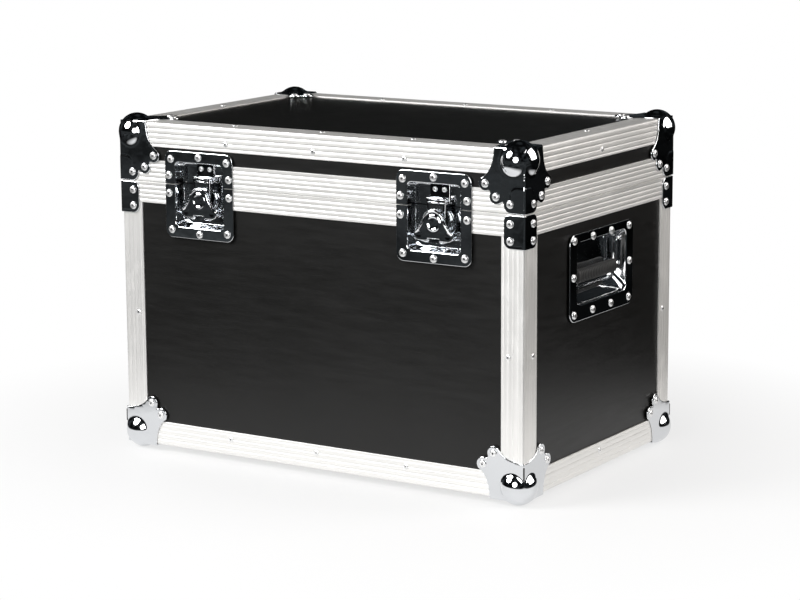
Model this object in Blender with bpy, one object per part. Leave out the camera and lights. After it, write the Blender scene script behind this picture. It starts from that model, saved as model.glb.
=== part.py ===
"""Touring road case with a lift-up lid.

Black laminated panels are held by aluminium angle bars and a tongue and groove closure,
with ball corners, two recessed butterfly latches, two recessed drop handles and one long
rear hinge. Units are metres. The origin is on the floor under the middle of the case, +X runs
right along the front, -Y faces the person who opens the latches and +Z is up.
"""
import math

import bmesh
import bpy
from mathutils import Matrix, Vector

# Driving dimensions ---------------------------------------------------------------------
WIDTH = 0.568            # over the aluminium bars, left to right
DEPTH = 0.370            # over the aluminium bars, front to back
HEIGHT = 0.404           # over the aluminium bars, bottom to top
BALL_RADIUS = 0.0225     # ball of a corner
BALL_INSET = 0.014       # ball centre, measured in from each outer face
LEG = 0.030              # leg of an angle bar
SKIN = 0.0018            # wall of the aluminium bars
PANEL = 0.007            # laminated plywood
GAP = 0.0003             # clearance between touching pieces
PLATE = 0.0015           # pressed steel of the corners, dishes and hinges
PARTING = 0.3305         # lid to base, above the bottom bars
PARTING_GAP = 0.0006     # between the two closure bars
LATCH_X = 0.166          # latch centre from the middle of the case

# Worked out from the driving dimensions --------------------------------------------------
STAND = BALL_RADIUS - BALL_INSET       # the balls stand this proud on every side
HALF_W = WIDTH / 2
HALF_D = DEPTH / 2
PANEL_OUT = SKIN + GAP                 # depth of the panels' outer face
PANEL_IN = PANEL_OUT + PANEL           # depth of the panels' inner face
BASE_TOP = PARTING - PARTING_GAP / 2
LID_BOTTOM = PARTING + PARTING_GAP / 2

BLACK = (0.02, 0.02, 0.021)
ALUMINIUM = (0.80, 0.79, 0.77)
CHROME = (0.55, 0.56, 0.58)
FOAM = (0.06, 0.06, 0.065)
GRIP = (0.015, 0.015, 0.015)


# Scene helpers ---------------------------------------------------------------------------
def clear_scene():
    for old in list(bpy.data.objects):
        bpy.data.objects.remove(old)


def new_collection(name):
    group = bpy.data.collections.new(name)
    bpy.context.scene.collection.children.link(group)
    return group


def make_material(name, colour, roughness, metallic):
    material = bpy.data.materials.new(name)
    material.use_nodes = True
    shader = material.node_tree.nodes["Principled BSDF"]
    shader.inputs["Base Color"].default_value = (*colour, 1.0)
    shader.inputs["Roughness"].default_value = roughness
    shader.inputs["Metallic"].default_value = metallic
    return material


def add_object(name, mesh, material):
    piece = bpy.data.objects.new(name, mesh)
    mesh.materials.clear()
    mesh.materials.append(material)
    PARTS.objects.link(piece)
    return piece


def finish_mesh(bm, name):
    bmesh.ops.recalc_face_normals(bm, faces=bm.faces)
    mesh = bpy.data.meshes.new(name)
    bm.to_mesh(mesh)
    bm.free()
    return mesh


def set_origin(piece, point):
    """Moves a piece's origin to a point and leaves its shape where it is."""
    piece.data.transform(Matrix.Translation(piece.location - Vector(point)))
    piece.location = point


# Primitive shapes ------------------------------------------------------------------------
def runs_along(edge, axis):
    """True for an edge that is parallel to a world axis, given as 0, 1 or 2."""
    direction = (edge.verts[0].co - edge.verts[1].co).normalized()
    return abs(direction[axis]) > 0.99


def box(name, low, high, material, chamfer=0.0, chamfer_axis=None, segments=1):
    """A box between two corners; its edges along one axis can be chamfered or rounded."""
    low, high = Vector(low), Vector(high)
    bm = bmesh.new()
    bmesh.ops.create_cube(bm, size=1.0)
    bmesh.ops.scale(bm, vec=high - low, verts=bm.verts)
    if chamfer:
        edges = [e for e in bm.edges if runs_along(e, chamfer_axis)]
        bmesh.ops.bevel(bm, geom=edges, offset=chamfer, segments=segments, profile=0.5, affect="EDGES")
    piece = add_object(name, finish_mesh(bm, name), material)
    piece.location = (low + high) / 2
    return piece


def cylinder(name, radius, start, end, material, segments=16):
    start, end = Vector(start), Vector(end)
    bm = bmesh.new()
    bmesh.ops.create_cone(bm, cap_ends=True, segments=segments, radius1=radius, radius2=radius,
                          depth=(end - start).length)
    piece = add_object(name, finish_mesh(bm, name), material)
    piece.location = (start + end) / 2
    piece.rotation_mode = "QUATERNION"
    piece.rotation_quaternion = (end - start).to_track_quat("Z", "Y")
    return piece


# Local x, y of an outline go to these world axes, and its thickness to the third.
OUTLINE_AXES = {
    "X": Matrix(((0, 0, 1), (1, 0, 0), (0, 1, 0))),
    "Y": Matrix(((1, 0, 0), (0, 0, -1), (0, 1, 0))),
    "Z": Matrix.Identity(3),
}


def outline(name, points, axis, start, end, material):
    """A flat closed outline extruded along a world axis from start to end."""
    curve = bpy.data.curves.new(name, "CURVE")
    curve.dimensions = "2D"
    curve.fill_mode = "BOTH"
    curve.extrude = abs(end - start) / 2
    spline = curve.splines.new("POLY")
    spline.points.add(len(points) - 1)
    for target, (u, v) in zip(spline.points, points):
        target.co = (u, v, 0.0, 1.0)
    spline.use_cyclic_u = True
    guide = bpy.data.objects.new(name + "_curve", curve)
    PARTS.objects.link(guide)
    mesh = mesh_of(guide)
    bpy.data.objects.remove(guide)
    mesh.transform(OUTLINE_AXES[axis].to_4x4())
    middle = Vector((0, 0, 0))
    middle["XYZ".index(axis)] = (start + end) / 2
    piece = add_object(name, mesh, material)
    piece.location = middle
    return piece


def mesh_of(piece):
    """The evaluated mesh of a piece, welded, in the piece's own frame."""
    bpy.context.view_layer.update()
    graph = bpy.context.evaluated_depsgraph_get()
    mesh = bpy.data.meshes.new_from_object(piece.evaluated_get(graph))
    bm = bmesh.new()
    bm.from_mesh(mesh)
    bmesh.ops.remove_doubles(bm, verts=bm.verts, dist=1e-6)
    bmesh.ops.recalc_face_normals(bm, faces=bm.faces)
    bm.to_mesh(mesh)
    bm.free()
    return mesh


def arc(centre, radius, start, end, count):
    """Points on an arc, angles in degrees, count segments."""
    points = []
    for i in range(count + 1):
        angle = math.radians(start + (end - start) * i / count)
        points.append((centre[0] + radius * math.cos(angle), centre[1] + radius * math.sin(angle)))
    return points


def combine(target, tool, operation):
    """A live Boolean of a tool on a target; the tool becomes a hidden cutter."""
    PARTS.objects.unlink(tool)
    CUTTERS.objects.link(tool)
    tool.name = "cut_" + tool.name
    tool.hide_render = True
    tool.display_type = "WIRE"
    modifier = target.modifiers.new(operation.lower() + "_" + tool.name, "BOOLEAN")
    modifier.operation = operation
    modifier.object = tool
    modifier.solver = "EXACT"
    return target


def join(target, *tools):
    for tool in tools:
        combine(target, tool, "UNION")
    return target


def cut(target, *tools):
    for tool in tools:
        combine(target, tool, "DIFFERENCE")
    return target


# Heights and depths in the world ---------------------------------------------------------
def up(height):
    """World height of a height above the bottom bars."""
    return STAND + height


def front(depth):
    """World y of a depth behind the front face."""
    return -HALF_D + depth


def right(depth):
    """World x of a depth behind the right face."""
    return HALF_W - depth


# Panels ----------------------------------------------------------------------------------
PANEL_CORNER = 0.009     # chamfer that keeps a panel's corner out of the ball
FIELD_EDGE = LEG + GAP   # the clear field of a top or bottom panel starts here
FIELD_CORNER = 0.040     # its corners stay clear of the corner plates
REBATE = 0.00025         # the margin under the bars sits this much lower


def facing_panel(name, y_sign, low, high, clipped):
    """A front or back panel; the corners at the case's own corners are clipped."""
    points = [(-HALF_W + PANEL_OUT, low), (HALF_W - PANEL_OUT, low),
              (HALF_W - PANEL_OUT, high), (-HALF_W + PANEL_OUT, high)]
    shape = []
    for index, (x, z) in enumerate(points):
        is_low = index < 2
        if (clipped == "low") != is_low:
            shape.append((x, z))
            continue
        step_x = math.copysign(PANEL_CORNER, -x)
        step_z = PANEL_CORNER if is_low else -PANEL_CORNER
        pair = [(x, z + step_z), (x + step_x, z)]
        shape += pair if index in (0, 2) else pair[::-1]
    near, far = y_sign * (HALF_D - PANEL_OUT), y_sign * (HALF_D - PANEL_IN)
    return outline(name, shape, "Y", min(near, far), max(near, far), BOARD)


def side_panel(name, x_sign, low, high):
    reach = HALF_D - PANEL_IN - GAP
    near, far = x_sign * (HALF_W - PANEL_OUT), x_sign * (HALF_W - PANEL_IN)
    return box(name, (min(near, far), -reach, low), (max(near, far), reach, high), BOARD)


def level_panel(name, outer, inner):
    """The top or bottom panel with a raised clear field between the bars."""
    reach_x, reach_y = HALF_W - PANEL_IN - GAP, HALF_D - PANEL_IN - GAP
    step = math.copysign(REBATE, outer - inner)
    panel = box(name, (-reach_x, -reach_y, min(outer, inner)), (reach_x, reach_y, max(outer, inner)), BOARD)
    field_x, field_y = HALF_W - FIELD_EDGE, HALF_D - FIELD_EDGE
    middle = (outer + inner) / 2
    field = box(name + "_field", (-field_x, -field_y, min(outer + step, middle)),
                (field_x, field_y, max(outer + step, middle)), BOARD, FIELD_CORNER, 2)
    return join(panel, field)


def build_panels():
    base_low, base_high = up(PANEL_OUT), up(PARTING - CLOSURE_CAP - GAP)
    lid_low, lid_high = up(PARTING + CLOSURE_CAP + GAP), up(HEIGHT - PANEL_OUT)
    facing_panel("base_front_panel", -1, base_low, base_high, "low")
    facing_panel("base_back_panel", 1, base_low, base_high, "low")
    facing_panel("lid_front_panel", -1, lid_low, lid_high, "high")
    facing_panel("lid_back_panel", 1, lid_low, lid_high, "high")
    for side, sign in SIDES:
        side_panel(f"base_{side}_panel", sign, base_low, base_high)
        side_panel(f"lid_{side}_panel", sign, lid_low, lid_high)
    level_panel("base_bottom_panel", up(PANEL_OUT), up(PANEL_IN))
    level_panel("lid_top_panel", up(HEIGHT - PANEL_OUT), up(HEIGHT - PANEL_IN))


# Aluminium bars --------------------------------------------------------------------------
BAR_END = 0.013          # bars stop this far from the corner, under the ball
CLOSURE_LOW = 0.3044     # lower edge of the lower closure bar
CLOSURE_HIGH = 0.3573    # upper edge of the upper closure bar
CLOSURE_CAP = 0.0040     # closure material on each side of the parting line
CLOSURE_LIP = 0.0120     # inner lip that holds the panel's edge
TONGUE_DEPTH = 0.0056    # tongue centre, behind the outer face
TONGUE_HALF = 0.0006
TONGUE_LENGTH = 0.0016
GROOVE_HALF = 0.0013
GROOVE_LENGTH = 0.0022


def angle_profile(u_sign, v_sign):
    """An L with its corner at the origin and its legs running to the given signs."""
    corner = [(0, 0), (LEG, 0), (LEG, SKIN), (SKIN, SKIN), (SKIN, LEG), (0, LEG)]
    return [(u_sign * u, v_sign * v) for u, v in corner]


def shifted(points, du, dv):
    return [(u + du, v + dv) for u, v in points]


def build_bars():
    run_x, run_y = HALF_W - BAR_END, HALF_D - FIELD_EDGE
    for level, height, v_sign in (("bottom", 0.0, 1), ("top", HEIGHT, -1)):
        for side, y_sign in (("front", -1), ("back", 1)):
            profile = shifted(angle_profile(-y_sign, v_sign), y_sign * HALF_D, up(height))
            outline(f"{level}_bar_{side}", profile, "X", -run_x, run_x, METAL)
        for side, x_sign in SIDES:
            profile = shifted(angle_profile(-x_sign, v_sign), x_sign * HALF_W, up(height))
            outline(f"{level}_bar_{side}", profile, "Y", -run_y, run_y, METAL)
    for x_side, x_sign in SIDES:
        for y_side, y_sign in (("front", -1), ("back", 1)):
            profile = shifted(angle_profile(-x_sign, -y_sign), x_sign * HALF_W, y_sign * HALF_D)
            name = f"upright_{y_side}_{x_side}"
            outline(name, profile, "Z", up(FIELD_EDGE), up(CLOSURE_LOW - GAP), METAL)


def mitred_ring(name, profile, material):
    """A closed bar round the case with mitred corners; profile points are (depth, height)."""
    bm = bmesh.new()
    loops = []
    for x_sign, y_sign in ((1, -1), (1, 1), (-1, 1), (-1, -1)):
        verts = []
        for depth, height in profile:
            verts.append(bm.verts.new((x_sign * (HALF_W - depth), y_sign * (HALF_D - depth), up(height))))
        loops.append([bm.edges.new((verts[i - 1], verts[i])) for i in range(len(verts))])
    for i in range(len(loops)):
        bmesh.ops.bridge_loops(bm, edges=loops[i - 1] + loops[i])
    return add_object(name, finish_mesh(bm, name), material)


def closure_profile(way, edge):
    """Half of the closure as (depth, height): skin, cap and inner lip; way is -1 below the parting."""
    lip, cap, face = PANEL_IN + GAP, PARTING + way * CLOSURE_CAP, PARTING + way * PARTING_GAP / 2
    if way < 0:
        half, reach = GROOVE_HALF, face - GROOVE_LENGTH
    else:
        half, reach = TONGUE_HALF, face - TONGUE_LENGTH
    inner = lip + SKIN
    return [(0, edge), (SKIN, edge), (SKIN, cap), (lip, cap), (lip, cap + way * CLOSURE_LIP),
            (inner, cap + way * CLOSURE_LIP), (inner, face),
            (TONGUE_DEPTH + half, face), (TONGUE_DEPTH + half, reach),
            (TONGUE_DEPTH - half, reach), (TONGUE_DEPTH - half, face), (0, face)]


def build_closures():
    """Each closure bar runs round the case from latch to latch, with a short bar between the latches."""
    clear = WELL_HALF + WELL_WALL + GAP
    for kind, way, edge in (("groove", -1, CLOSURE_LOW), ("tongue", 1, CLOSURE_HIGH)):
        profile = closure_profile(way, edge)
        frame = mitred_ring(f"closure_{kind}_frame", profile, METAL)
        cut(frame, box(f"closure_{kind}_front", (-LATCH_X - clear, front(-0.01), up(PARTING - 0.05)),
                       (LATCH_X + clear, front(0.02), up(PARTING + 0.05)), METAL))
        points = [(front(depth), up(height)) for depth, height in profile]
        outline(f"closure_{kind}_middle", points, "X", -LATCH_X + clear, LATCH_X - clear, METAL)


# Ball corners and braces -----------------------------------------------------------------
LUG = 0.0085             # radius of a riveting lug
PLATE_OUT = -(GAP + PLATE)
BRACE_REACH = 0.026      # how far a brace or leg wraps round an upright
BRACE_LOW = 0.2906
LEG_ROUND = 0.009        # rounding of a leg's lower corner
TIP_CUT = 0.012          # the case's corner inside the ball is cut by x + y + z = this


def lug_plate(first, second, edge):
    """A corner plate's outline from under the ball, out along one edge and round its two lugs."""
    start = [(PLATE_OUT, BALL_INSET), (BALL_INSET, PLATE_OUT)]
    flare = [(edge, PLATE_OUT), (edge + 0.001, 0.017), (first[0] + 0.0065, first[1] - 0.0070)]
    valley = [((first[0] + second[0]) / 2 + 0.0012, (first[1] + second[1]) / 2 + 0.0012)]
    return start + flare + arc(first, LUG, -40, 115, 4) + valley + arc(second, LUG, -25, 130, 4)


def plain_plate(first, edge):
    """A corner plate that is the same along both of its edges."""
    points = lug_plate(first, (first[1], first[0]), edge)
    mirrored = [(v, u) for u, v in points[2:5]]
    return points + mirrored[::-1]


def legged_plate(first, second, edge, drop):
    """A lid corner plate whose second edge runs on down to the parting line."""
    points = lug_plate(first, second, edge)
    waist = [(BRACE_REACH + 0.0012, second[1] + 0.0055)]
    foot = arc((BRACE_REACH - LEG_ROUND, drop - LEG_ROUND), LEG_ROUND, 0, 90, 3)
    return points + waist + foot + [(PLATE_OUT, drop)]


def case_corner_block():
    """The case's own corner, from which the corner pieces keep a small gap."""
    bm = bmesh.new()
    bmesh.ops.create_cube(bm, size=0.1)
    bmesh.ops.translate(bm, vec=Vector((0.05 - GAP,) * 3), verts=bm.verts)
    geometry = bm.verts[:] + bm.edges[:] + bm.faces[:]
    normal = Vector((1, 1, 1)).normalized()
    bmesh.ops.bisect_plane(bm, geom=geometry, plane_co=normal * (TIP_CUT / math.sqrt(3)), plane_no=normal,
                           clear_inner=True)
    rim = [e for e in bm.edges if e.is_boundary]
    bmesh.ops.contextual_create(bm, geom=rim)
    return add_object("case_corner", finish_mesh(bm, "case_corner"), STEEL)


def ball(name):
    bm = bmesh.new()
    bmesh.ops.create_uvsphere(bm, u_segments=16, v_segments=8, radius=BALL_RADIUS)
    piece = add_object(name, finish_mesh(bm, name), STEEL)
    piece.location = (BALL_INSET,) * 3
    return piece


def corner_template(name, level_outline, wall_outline):
    """A corner with its outer corner at the origin and the case towards +X, +Y and +Z."""
    piece = ball(name)
    for axis, points in (("Z", level_outline), ("X", wall_outline), ("Y", wall_outline)):
        join(piece, outline(f"{name}_plate_{axis}", points, axis, PLATE_OUT, -GAP, STEEL))
    cut(piece, case_corner_block())
    return piece


def place_corners(template, level, z_sign):
    """Copies a template to four corners of the case."""
    mesh = mesh_of(template)
    mesh.transform(template.matrix_world)
    for x_side, x_sign in SIDES:
        for y_side, y_sign in (("front", -1), ("back", 1)):
            signs = Matrix.Diagonal((-x_sign, -y_sign, -z_sign, 1.0))
            copy = mesh.copy()
            bm = bmesh.new()
            bm.from_mesh(copy)
            bmesh.ops.transform(bm, matrix=signs, verts=bm.verts)
            bmesh.ops.recalc_face_normals(bm, faces=bm.faces)
            bm.to_mesh(copy)
            bm.free()
            piece = add_object(f"{level}_ball_corner_{y_side}_{x_side}", copy, STEEL)
            height = up(HEIGHT) if z_sign > 0 else up(0.0)
            piece.location = (x_sign * HALF_W, y_sign * HALF_D, height)
    for modifier in list(template.modifiers):
        bpy.data.objects.remove(modifier.object)
    bpy.data.objects.remove(template)


def build_corners():
    bottom_plate = plain_plate((0.0525, 0.0385), 0.044)
    place_corners(corner_template("bottom_template", bottom_plate, bottom_plate), "bottom", -1)
    top_plate = plain_plate((0.0505, 0.0385), 0.039)
    wall_plate = legged_plate((0.0500, 0.0410), (0.0360, 0.0555), 0.039, HEIGHT - LID_BOTTOM - GAP)
    place_corners(corner_template("top_template", top_plate, wall_plate), "top", 1)


def build_braces():
    """Angle plates round the uprights, under the parting line."""
    for x_side, x_sign in SIDES:
        for y_side, y_sign in (("front", -1), ("back", 1)):
            out, reach = PLATE_OUT, BRACE_REACH
            profile = [(out, out), (reach, out), (reach, -GAP), (-GAP, -GAP), (-GAP, reach), (out, reach)]
            signed = [(x_sign * (HALF_W - u), y_sign * (HALF_D - v)) for u, v in profile]
            name = f"corner_brace_{y_side}_{x_side}"
            outline(name, signed, "Z", up(BRACE_LOW), up(BASE_TOP - 2 * GAP), STEEL)


# Butterfly latches -----------------------------------------------------------------------
DISH_HALF = 0.0505       # half the width of a latch dish
DISH_LOW = 0.2650
DISH_HIGH = 0.3715
DISH_ROUND = 0.010
WELL_HALF = 0.0354       # half the width of the well inside the dish
WELL_LOW = 0.2790
WELL_HIGH = 0.3576
WELL_DEPTH = 0.0143      # floor of the well, behind the front face
WELL_WALL = 0.0012
BOSS_Z = 0.3126          # spindle of the butterfly
LIP_DEPTH = 0.0055       # keeper lip, behind the front face
LIP_LOW = 0.3330
LIP_HIGH = 0.3386
KEEPER_TOP = 0.3560
KEEPER_HALF = 0.0130
KEEPER_PLATE = 0.0012
HOOK_DEPTH = 0.0039      # front of the hook plate
HOOK_PLATE = 0.0013
HOOK_HALF = 0.0125
HOOK_FOOT = 0.2970
HOOK_UNDER = 0.3392      # underside of the claw, just over the keeper lip
HOOK_TOP = 0.3406
CLAW_DEPTH = 0.0086      # front of the claw's tip, behind the keeper lip
CLAW_TIP = 0.3366
SLOT_HALF = 0.0050       # slot of the hook, in which the spindle stands while the hook lifts 6 mm
SLOT_LOW = 0.3000
SLOT_HIGH = 0.3176
DISC_RADIUS = 0.016
DISC_DEPTHS = (0.0112, 0.0138)
SPINDLE_RADIUS = 0.004
CARRIER_HALF = 0.007
CARRIER_DEPTHS = (-0.0006, 0.0010)
CARRIER_LOW = 0.2894
CARRIER_HIGH = 0.3180
WING_FRONT = -0.0025     # the wing stands this proud of the front face
WING_PLATE = 0.0016
WING_PIN_Z = 0.2915
WING_PIN_DEPTH = 0.0009
WING_PIN_HALF = 0.017
PIN_RADIUS = 0.0013
WING_BORE = 0.0017
KNUCKLE_OUTER = 0.0025   # radius of the wing's knuckles
KNUCKLE_ENDS = (0.0082, 0.0150)
LOBE_RADIUS = 0.0070     # each lower lobe of the wing
LOBE_X = 0.0195
WING_NOTCH = 0.0078      # half the notch between the lobes
WING_NOTCH_TOP = 0.2942
APEX_RADIUS = 0.0145
APEX_Z = 0.3140
BUTTERFLY_SIDES = 12     # facets of the pins and knuckles

def latch_dish(name, x, low, high, is_upper):
    """One half of a latch dish: a flange round a well that is open at the parting line."""
    left, right_edge = x - DISH_HALF, x + DISH_HALF
    round_z = high - DISH_ROUND if is_upper else low + DISH_ROUND
    centres = ((right_edge - DISH_ROUND, round_z), (left + DISH_ROUND, round_z))
    if is_upper:
        shape = [(left, low), (right_edge, low)] + arc(centres[0], DISH_ROUND, 0, 90, 3)
        shape += arc(centres[1], DISH_ROUND, 90, 180, 3)
    else:
        shape = [(right_edge, high), (left, high)] + arc(centres[1], DISH_ROUND, 180, 270, 3)
        shape += arc(centres[0], DISH_ROUND, 270, 360, 3)
    shape = [(u, up(v)) for u, v in shape]
    dish = outline(name, shape, "Y", front(PLATE_OUT), front(-GAP), STEEL)
    wall_half = WELL_HALF + WELL_WALL
    pan_low = low if is_upper else WELL_LOW - WELL_WALL
    pan_high = WELL_HIGH + WELL_WALL if is_upper else high
    pan = box(name + "_pan", (x - wall_half, front(PLATE_OUT + PLATE / 2), up(pan_low)),
              (x + wall_half, front(WELL_DEPTH + WELL_WALL), up(pan_high)), STEEL)
    inner_low = low - 0.01 if is_upper else WELL_LOW
    inner_high = WELL_HIGH if is_upper else high + 0.01
    well = box(name + "_well", (x - WELL_HALF, front(-0.01), up(inner_low)),
               (x + WELL_HALF, front(WELL_DEPTH), up(inner_high)), STEEL)
    join(dish, pan)
    return cut(dish, well)


def latch_opening(x):
    clearance = WELL_WALL + GAP
    return box("latch_opening", (x - WELL_HALF - clearance, front(-0.01), up(WELL_LOW - clearance)),
               (x + WELL_HALF + clearance, front(0.03), up(WELL_HIGH + clearance)), STEEL)


def latch_keeper(name, x):
    """The J-shaped plate on the lid's dish that the hook pulls down on."""
    floor, thick = WELL_DEPTH - GAP, KEEPER_PLATE
    profile = [(LIP_DEPTH, LIP_HIGH), (LIP_DEPTH, LIP_LOW), (floor, LIP_LOW), (floor, KEEPER_TOP),
               (floor - thick, KEEPER_TOP), (floor - thick, LIP_LOW + thick),
               (LIP_DEPTH + thick, LIP_LOW + thick), (LIP_DEPTH + thick, LIP_HIGH)]
    points = [(front(depth), up(z)) for depth, z in profile]
    return outline(name, points, "X", x - KEEPER_HALF, x + KEEPER_HALF, STEEL)


def latch_hook(name, x):
    """The claw plate: it reaches over the keeper lip and has a slot for the spindle."""
    back, claw_back = HOOK_DEPTH + HOOK_PLATE, CLAW_DEPTH + HOOK_PLATE
    profile = [(HOOK_DEPTH, HOOK_FOOT), (back, HOOK_FOOT), (back, HOOK_UNDER), (CLAW_DEPTH, HOOK_UNDER),
               (CLAW_DEPTH, CLAW_TIP), (claw_back, CLAW_TIP), (claw_back, HOOK_TOP), (HOOK_DEPTH, HOOK_TOP)]
    points = [(front(depth), up(z)) for depth, z in profile]
    hook = outline(name, points, "X", x - HOOK_HALF, x + HOOK_HALF, STEEL)
    slot = box(name + "_slot", (x - SLOT_HALF, front(0.0), up(SLOT_LOW)),
               (x + SLOT_HALF, front(back + HOOK_PLATE), up(SLOT_HIGH)), STEEL)
    cut(hook, slot)
    set_origin(hook, (x, front(HOOK_DEPTH), up(BOSS_Z)))
    return hook


def along_depth(name, x, radius, depths, segments):
    """A disc or spindle of the butterfly, round its turning axis."""
    start, end = (Vector((x, front(depth), up(BOSS_Z))) for depth in depths)
    return cylinder(name, radius, start, end, STEEL, segments)


def across(name, x, radius, ends):
    """A pin, knuckle or bore along the wing's folding axis."""
    start, end = (Vector((x + reach, front(WING_PIN_DEPTH), up(WING_PIN_Z))) for reach in ends)
    return cylinder(name, radius, start, end, STEEL, BUTTERFLY_SIDES)


def latch_turntable(name, x):
    """Disc, spindle, carrier bar and wing pin, which turn together."""
    disc = along_depth(name, x, DISC_RADIUS, DISC_DEPTHS, 2 * BUTTERFLY_SIDES)
    inside = sum(DISC_DEPTHS) / 2
    spindle = along_depth(name + "_spindle", x, SPINDLE_RADIUS, (0.0, inside), BUTTERFLY_SIDES)
    near, far = CARRIER_DEPTHS
    carrier = box(name + "_carrier", (x - CARRIER_HALF, front(near), up(CARRIER_LOW)),
                  (x + CARRIER_HALF, front(far), up(CARRIER_HIGH)), STEEL)
    pin = across(name + "_pin", x, PIN_RADIUS, (-WING_PIN_HALF, WING_PIN_HALF))
    return join(disc, spindle, carrier, pin)


def latch_wing(name, x):
    """The folding butterfly: a rounded triangle with two knuckles round the pin."""
    pin_z = WING_PIN_Z
    shape = [(WING_NOTCH, WING_NOTCH_TOP), (WING_NOTCH, pin_z)]
    shape += arc((LOBE_X, pin_z + LOBE_RADIUS), LOBE_RADIUS, -90, 30, 5)
    half = shape + arc((0.0, APEX_Z), APEX_RADIUS, 22, 84, 4)
    full = half + [(-u, v) for u, v in half[::-1]]
    points = [(x + u, up(v)) for u, v in full]
    wing = outline(name, points, "Y", front(WING_FRONT), front(WING_FRONT + WING_PLATE), STEEL)
    near, far = KNUCKLE_ENDS
    for ends in ((-far, -near), (near, far)):
        join(wing, across(f"{name}_knuckle", x, KNUCKLE_OUTER, ends))
    cut(wing, across(name + "_bore", x, WING_BORE, (-LOBE_X, LOBE_X)))
    set_origin(wing, (x, front(WING_PIN_DEPTH), up(pin_z)))
    return wing


def build_latches():
    for side, sign in SIDES:
        x = sign * LATCH_X
        latch_dish(f"latch_{side}_base_dish", x, DISH_LOW, BASE_TOP - GAP, False)
        latch_dish(f"latch_{side}_lid_dish", x, LID_BOTTOM + GAP, DISH_HIGH, True)
        latch_keeper(f"latch_{side}_keeper", x)
        latch_hook(f"latch_{side}_hook", x)
        latch_turntable(f"latch_{side}_turntable", x)
        latch_wing(f"latch_{side}_wing", x)
        for name in ("base_front_panel", "lid_front_panel"):
            cut(bpy.data.objects[name], latch_opening(x))


# Drop handles ----------------------------------------------------------------------------
HANDLE_HALF = 0.0795     # half the length of a handle dish
HANDLE_LOW = 0.1880
HANDLE_HIGH = 0.2916
HANDLE_ROUND = 0.012
CUP_HALF = 0.0620        # half the length of the cup
CUP_LOW = 0.2070
CUP_HIGH = 0.2810
CUP_DEPTH = 0.0170       # floor of the cup, behind the side face
BAIL_Z = 0.2710
BAIL_DEPTH = 0.0085
BAIL_RADIUS = 0.003
BAIL_HALF = 0.0560
BAIL_BEND = 0.006
GRIP_Z = 0.2380
GRIP_HALF = 0.0480       # half the length of the rubber sleeve
GRIP_THICK = 0.0055      # half its thickness, in and out of the cup
GRIP_TALL = 0.0080       # half its height
GRIP_ROUND = 0.0050
GRIP_BORE_GAP = 0.0004   # clearance of the sleeve on the bail


def handle_dish(name, sign):
    """A flanged cup let into the side panel."""
    bend = HANDLE_ROUND
    shape = arc((HANDLE_HALF - bend, HANDLE_LOW + bend), bend, 270, 360, 3)
    shape += arc((HANDLE_HALF - bend, HANDLE_HIGH - bend), bend, 0, 90, 3)
    shape += [(-u, v) for u, v in shape[::-1]]
    shape = [(u, up(v)) for u, v in shape]
    outer, inner = right(PANEL_OUT + PLATE_OUT), right(PANEL_OUT - GAP)
    dish = outline(name, shape, "X", sign * min(outer, inner), sign * max(outer, inner), STEEL)
    wall = WELL_WALL
    far = right(CUP_DEPTH + wall)
    mid = (outer + inner) / 2
    cup_x = sorted((sign * far, sign * mid))
    cup = box(name + "_cup", (cup_x[0], -CUP_HALF - wall, up(CUP_LOW - wall)),
              (cup_x[1], CUP_HALF + wall, up(CUP_HIGH + wall)), STEEL)
    hollow_x = sorted((sign * right(CUP_DEPTH), sign * right(-0.01)))
    hollow = box(name + "_hollow", (hollow_x[0], -CUP_HALF, up(CUP_LOW)),
                 (hollow_x[1], CUP_HALF, up(CUP_HIGH)), STEEL)
    join(dish, cup)
    return cut(dish, hollow)


def handle_opening(sign):
    clearance = WELL_WALL + GAP
    ends = sorted((sign * right(-0.01), sign * right(0.03)))
    return box("handle_opening", (ends[0], -CUP_HALF - clearance, up(CUP_LOW - clearance)),
               (ends[1], CUP_HALF + clearance, up(CUP_HIGH + clearance)), STEEL)


def bail_path():
    """Half the bail from the middle of the grip to the pivot, as (y, height)."""
    low, top, bend, end = GRIP_Z, BAIL_Z, BAIL_BEND, CUP_HALF - 0.0008
    path = [(0.0, low)]
    path += arc((BAIL_HALF - bend, low + bend), bend, 270, 360, 4)
    path += arc((BAIL_HALF + 0.004, top - 0.004), 0.004, 180, 90, 3)
    return path + [(end, top)]


def handle_bail(name, sign):
    half = bail_path()
    points = [(-y, z) for y, z in half[:0:-1]] + half
    curve = bpy.data.curves.new(name, "CURVE")
    curve.dimensions = "3D"
    curve.bevel_depth = BAIL_RADIUS
    curve.bevel_resolution = 2
    curve.use_fill_caps = True
    spline = curve.splines.new("POLY")
    spline.points.add(len(points) - 1)
    for target, (y, z) in zip(spline.points, points):
        target.co = (sign * right(BAIL_DEPTH), y, up(z), 1.0)
    guide = bpy.data.objects.new(name + "_curve", curve)
    PARTS.objects.link(guide)
    mesh = mesh_of(guide)
    bpy.data.objects.remove(guide)
    bail = add_object(name, mesh, STEEL)
    set_origin(bail, (sign * right(BAIL_DEPTH), 0.0, up(BAIL_Z)))
    return bail


def handle_grip(name, sign):
    """The rubber sleeve on the bail's lower bar."""
    x, z = sign * right(BAIL_DEPTH), up(GRIP_Z)
    shape = []
    for u, v, start in ((1, 1, 0), (-1, 1, 90), (-1, -1, 180), (1, -1, 270)):
        centre = (x + u * (GRIP_THICK - GRIP_ROUND), z + v * (GRIP_TALL - GRIP_ROUND))
        shape += arc(centre, GRIP_ROUND, start, start + 90, 4)
    grip = outline(name, shape, "Y", -GRIP_HALF, GRIP_HALF, RUBBER)
    reach, bore_radius = GRIP_HALF + GRIP_THICK, BAIL_RADIUS + GRIP_BORE_GAP
    cut(grip, cylinder(name + "_bore", bore_radius, (x, -reach, z), (x, reach, z), RUBBER, 12))
    set_origin(grip, (x, 0.0, up(BAIL_Z)))
    return grip


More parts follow.
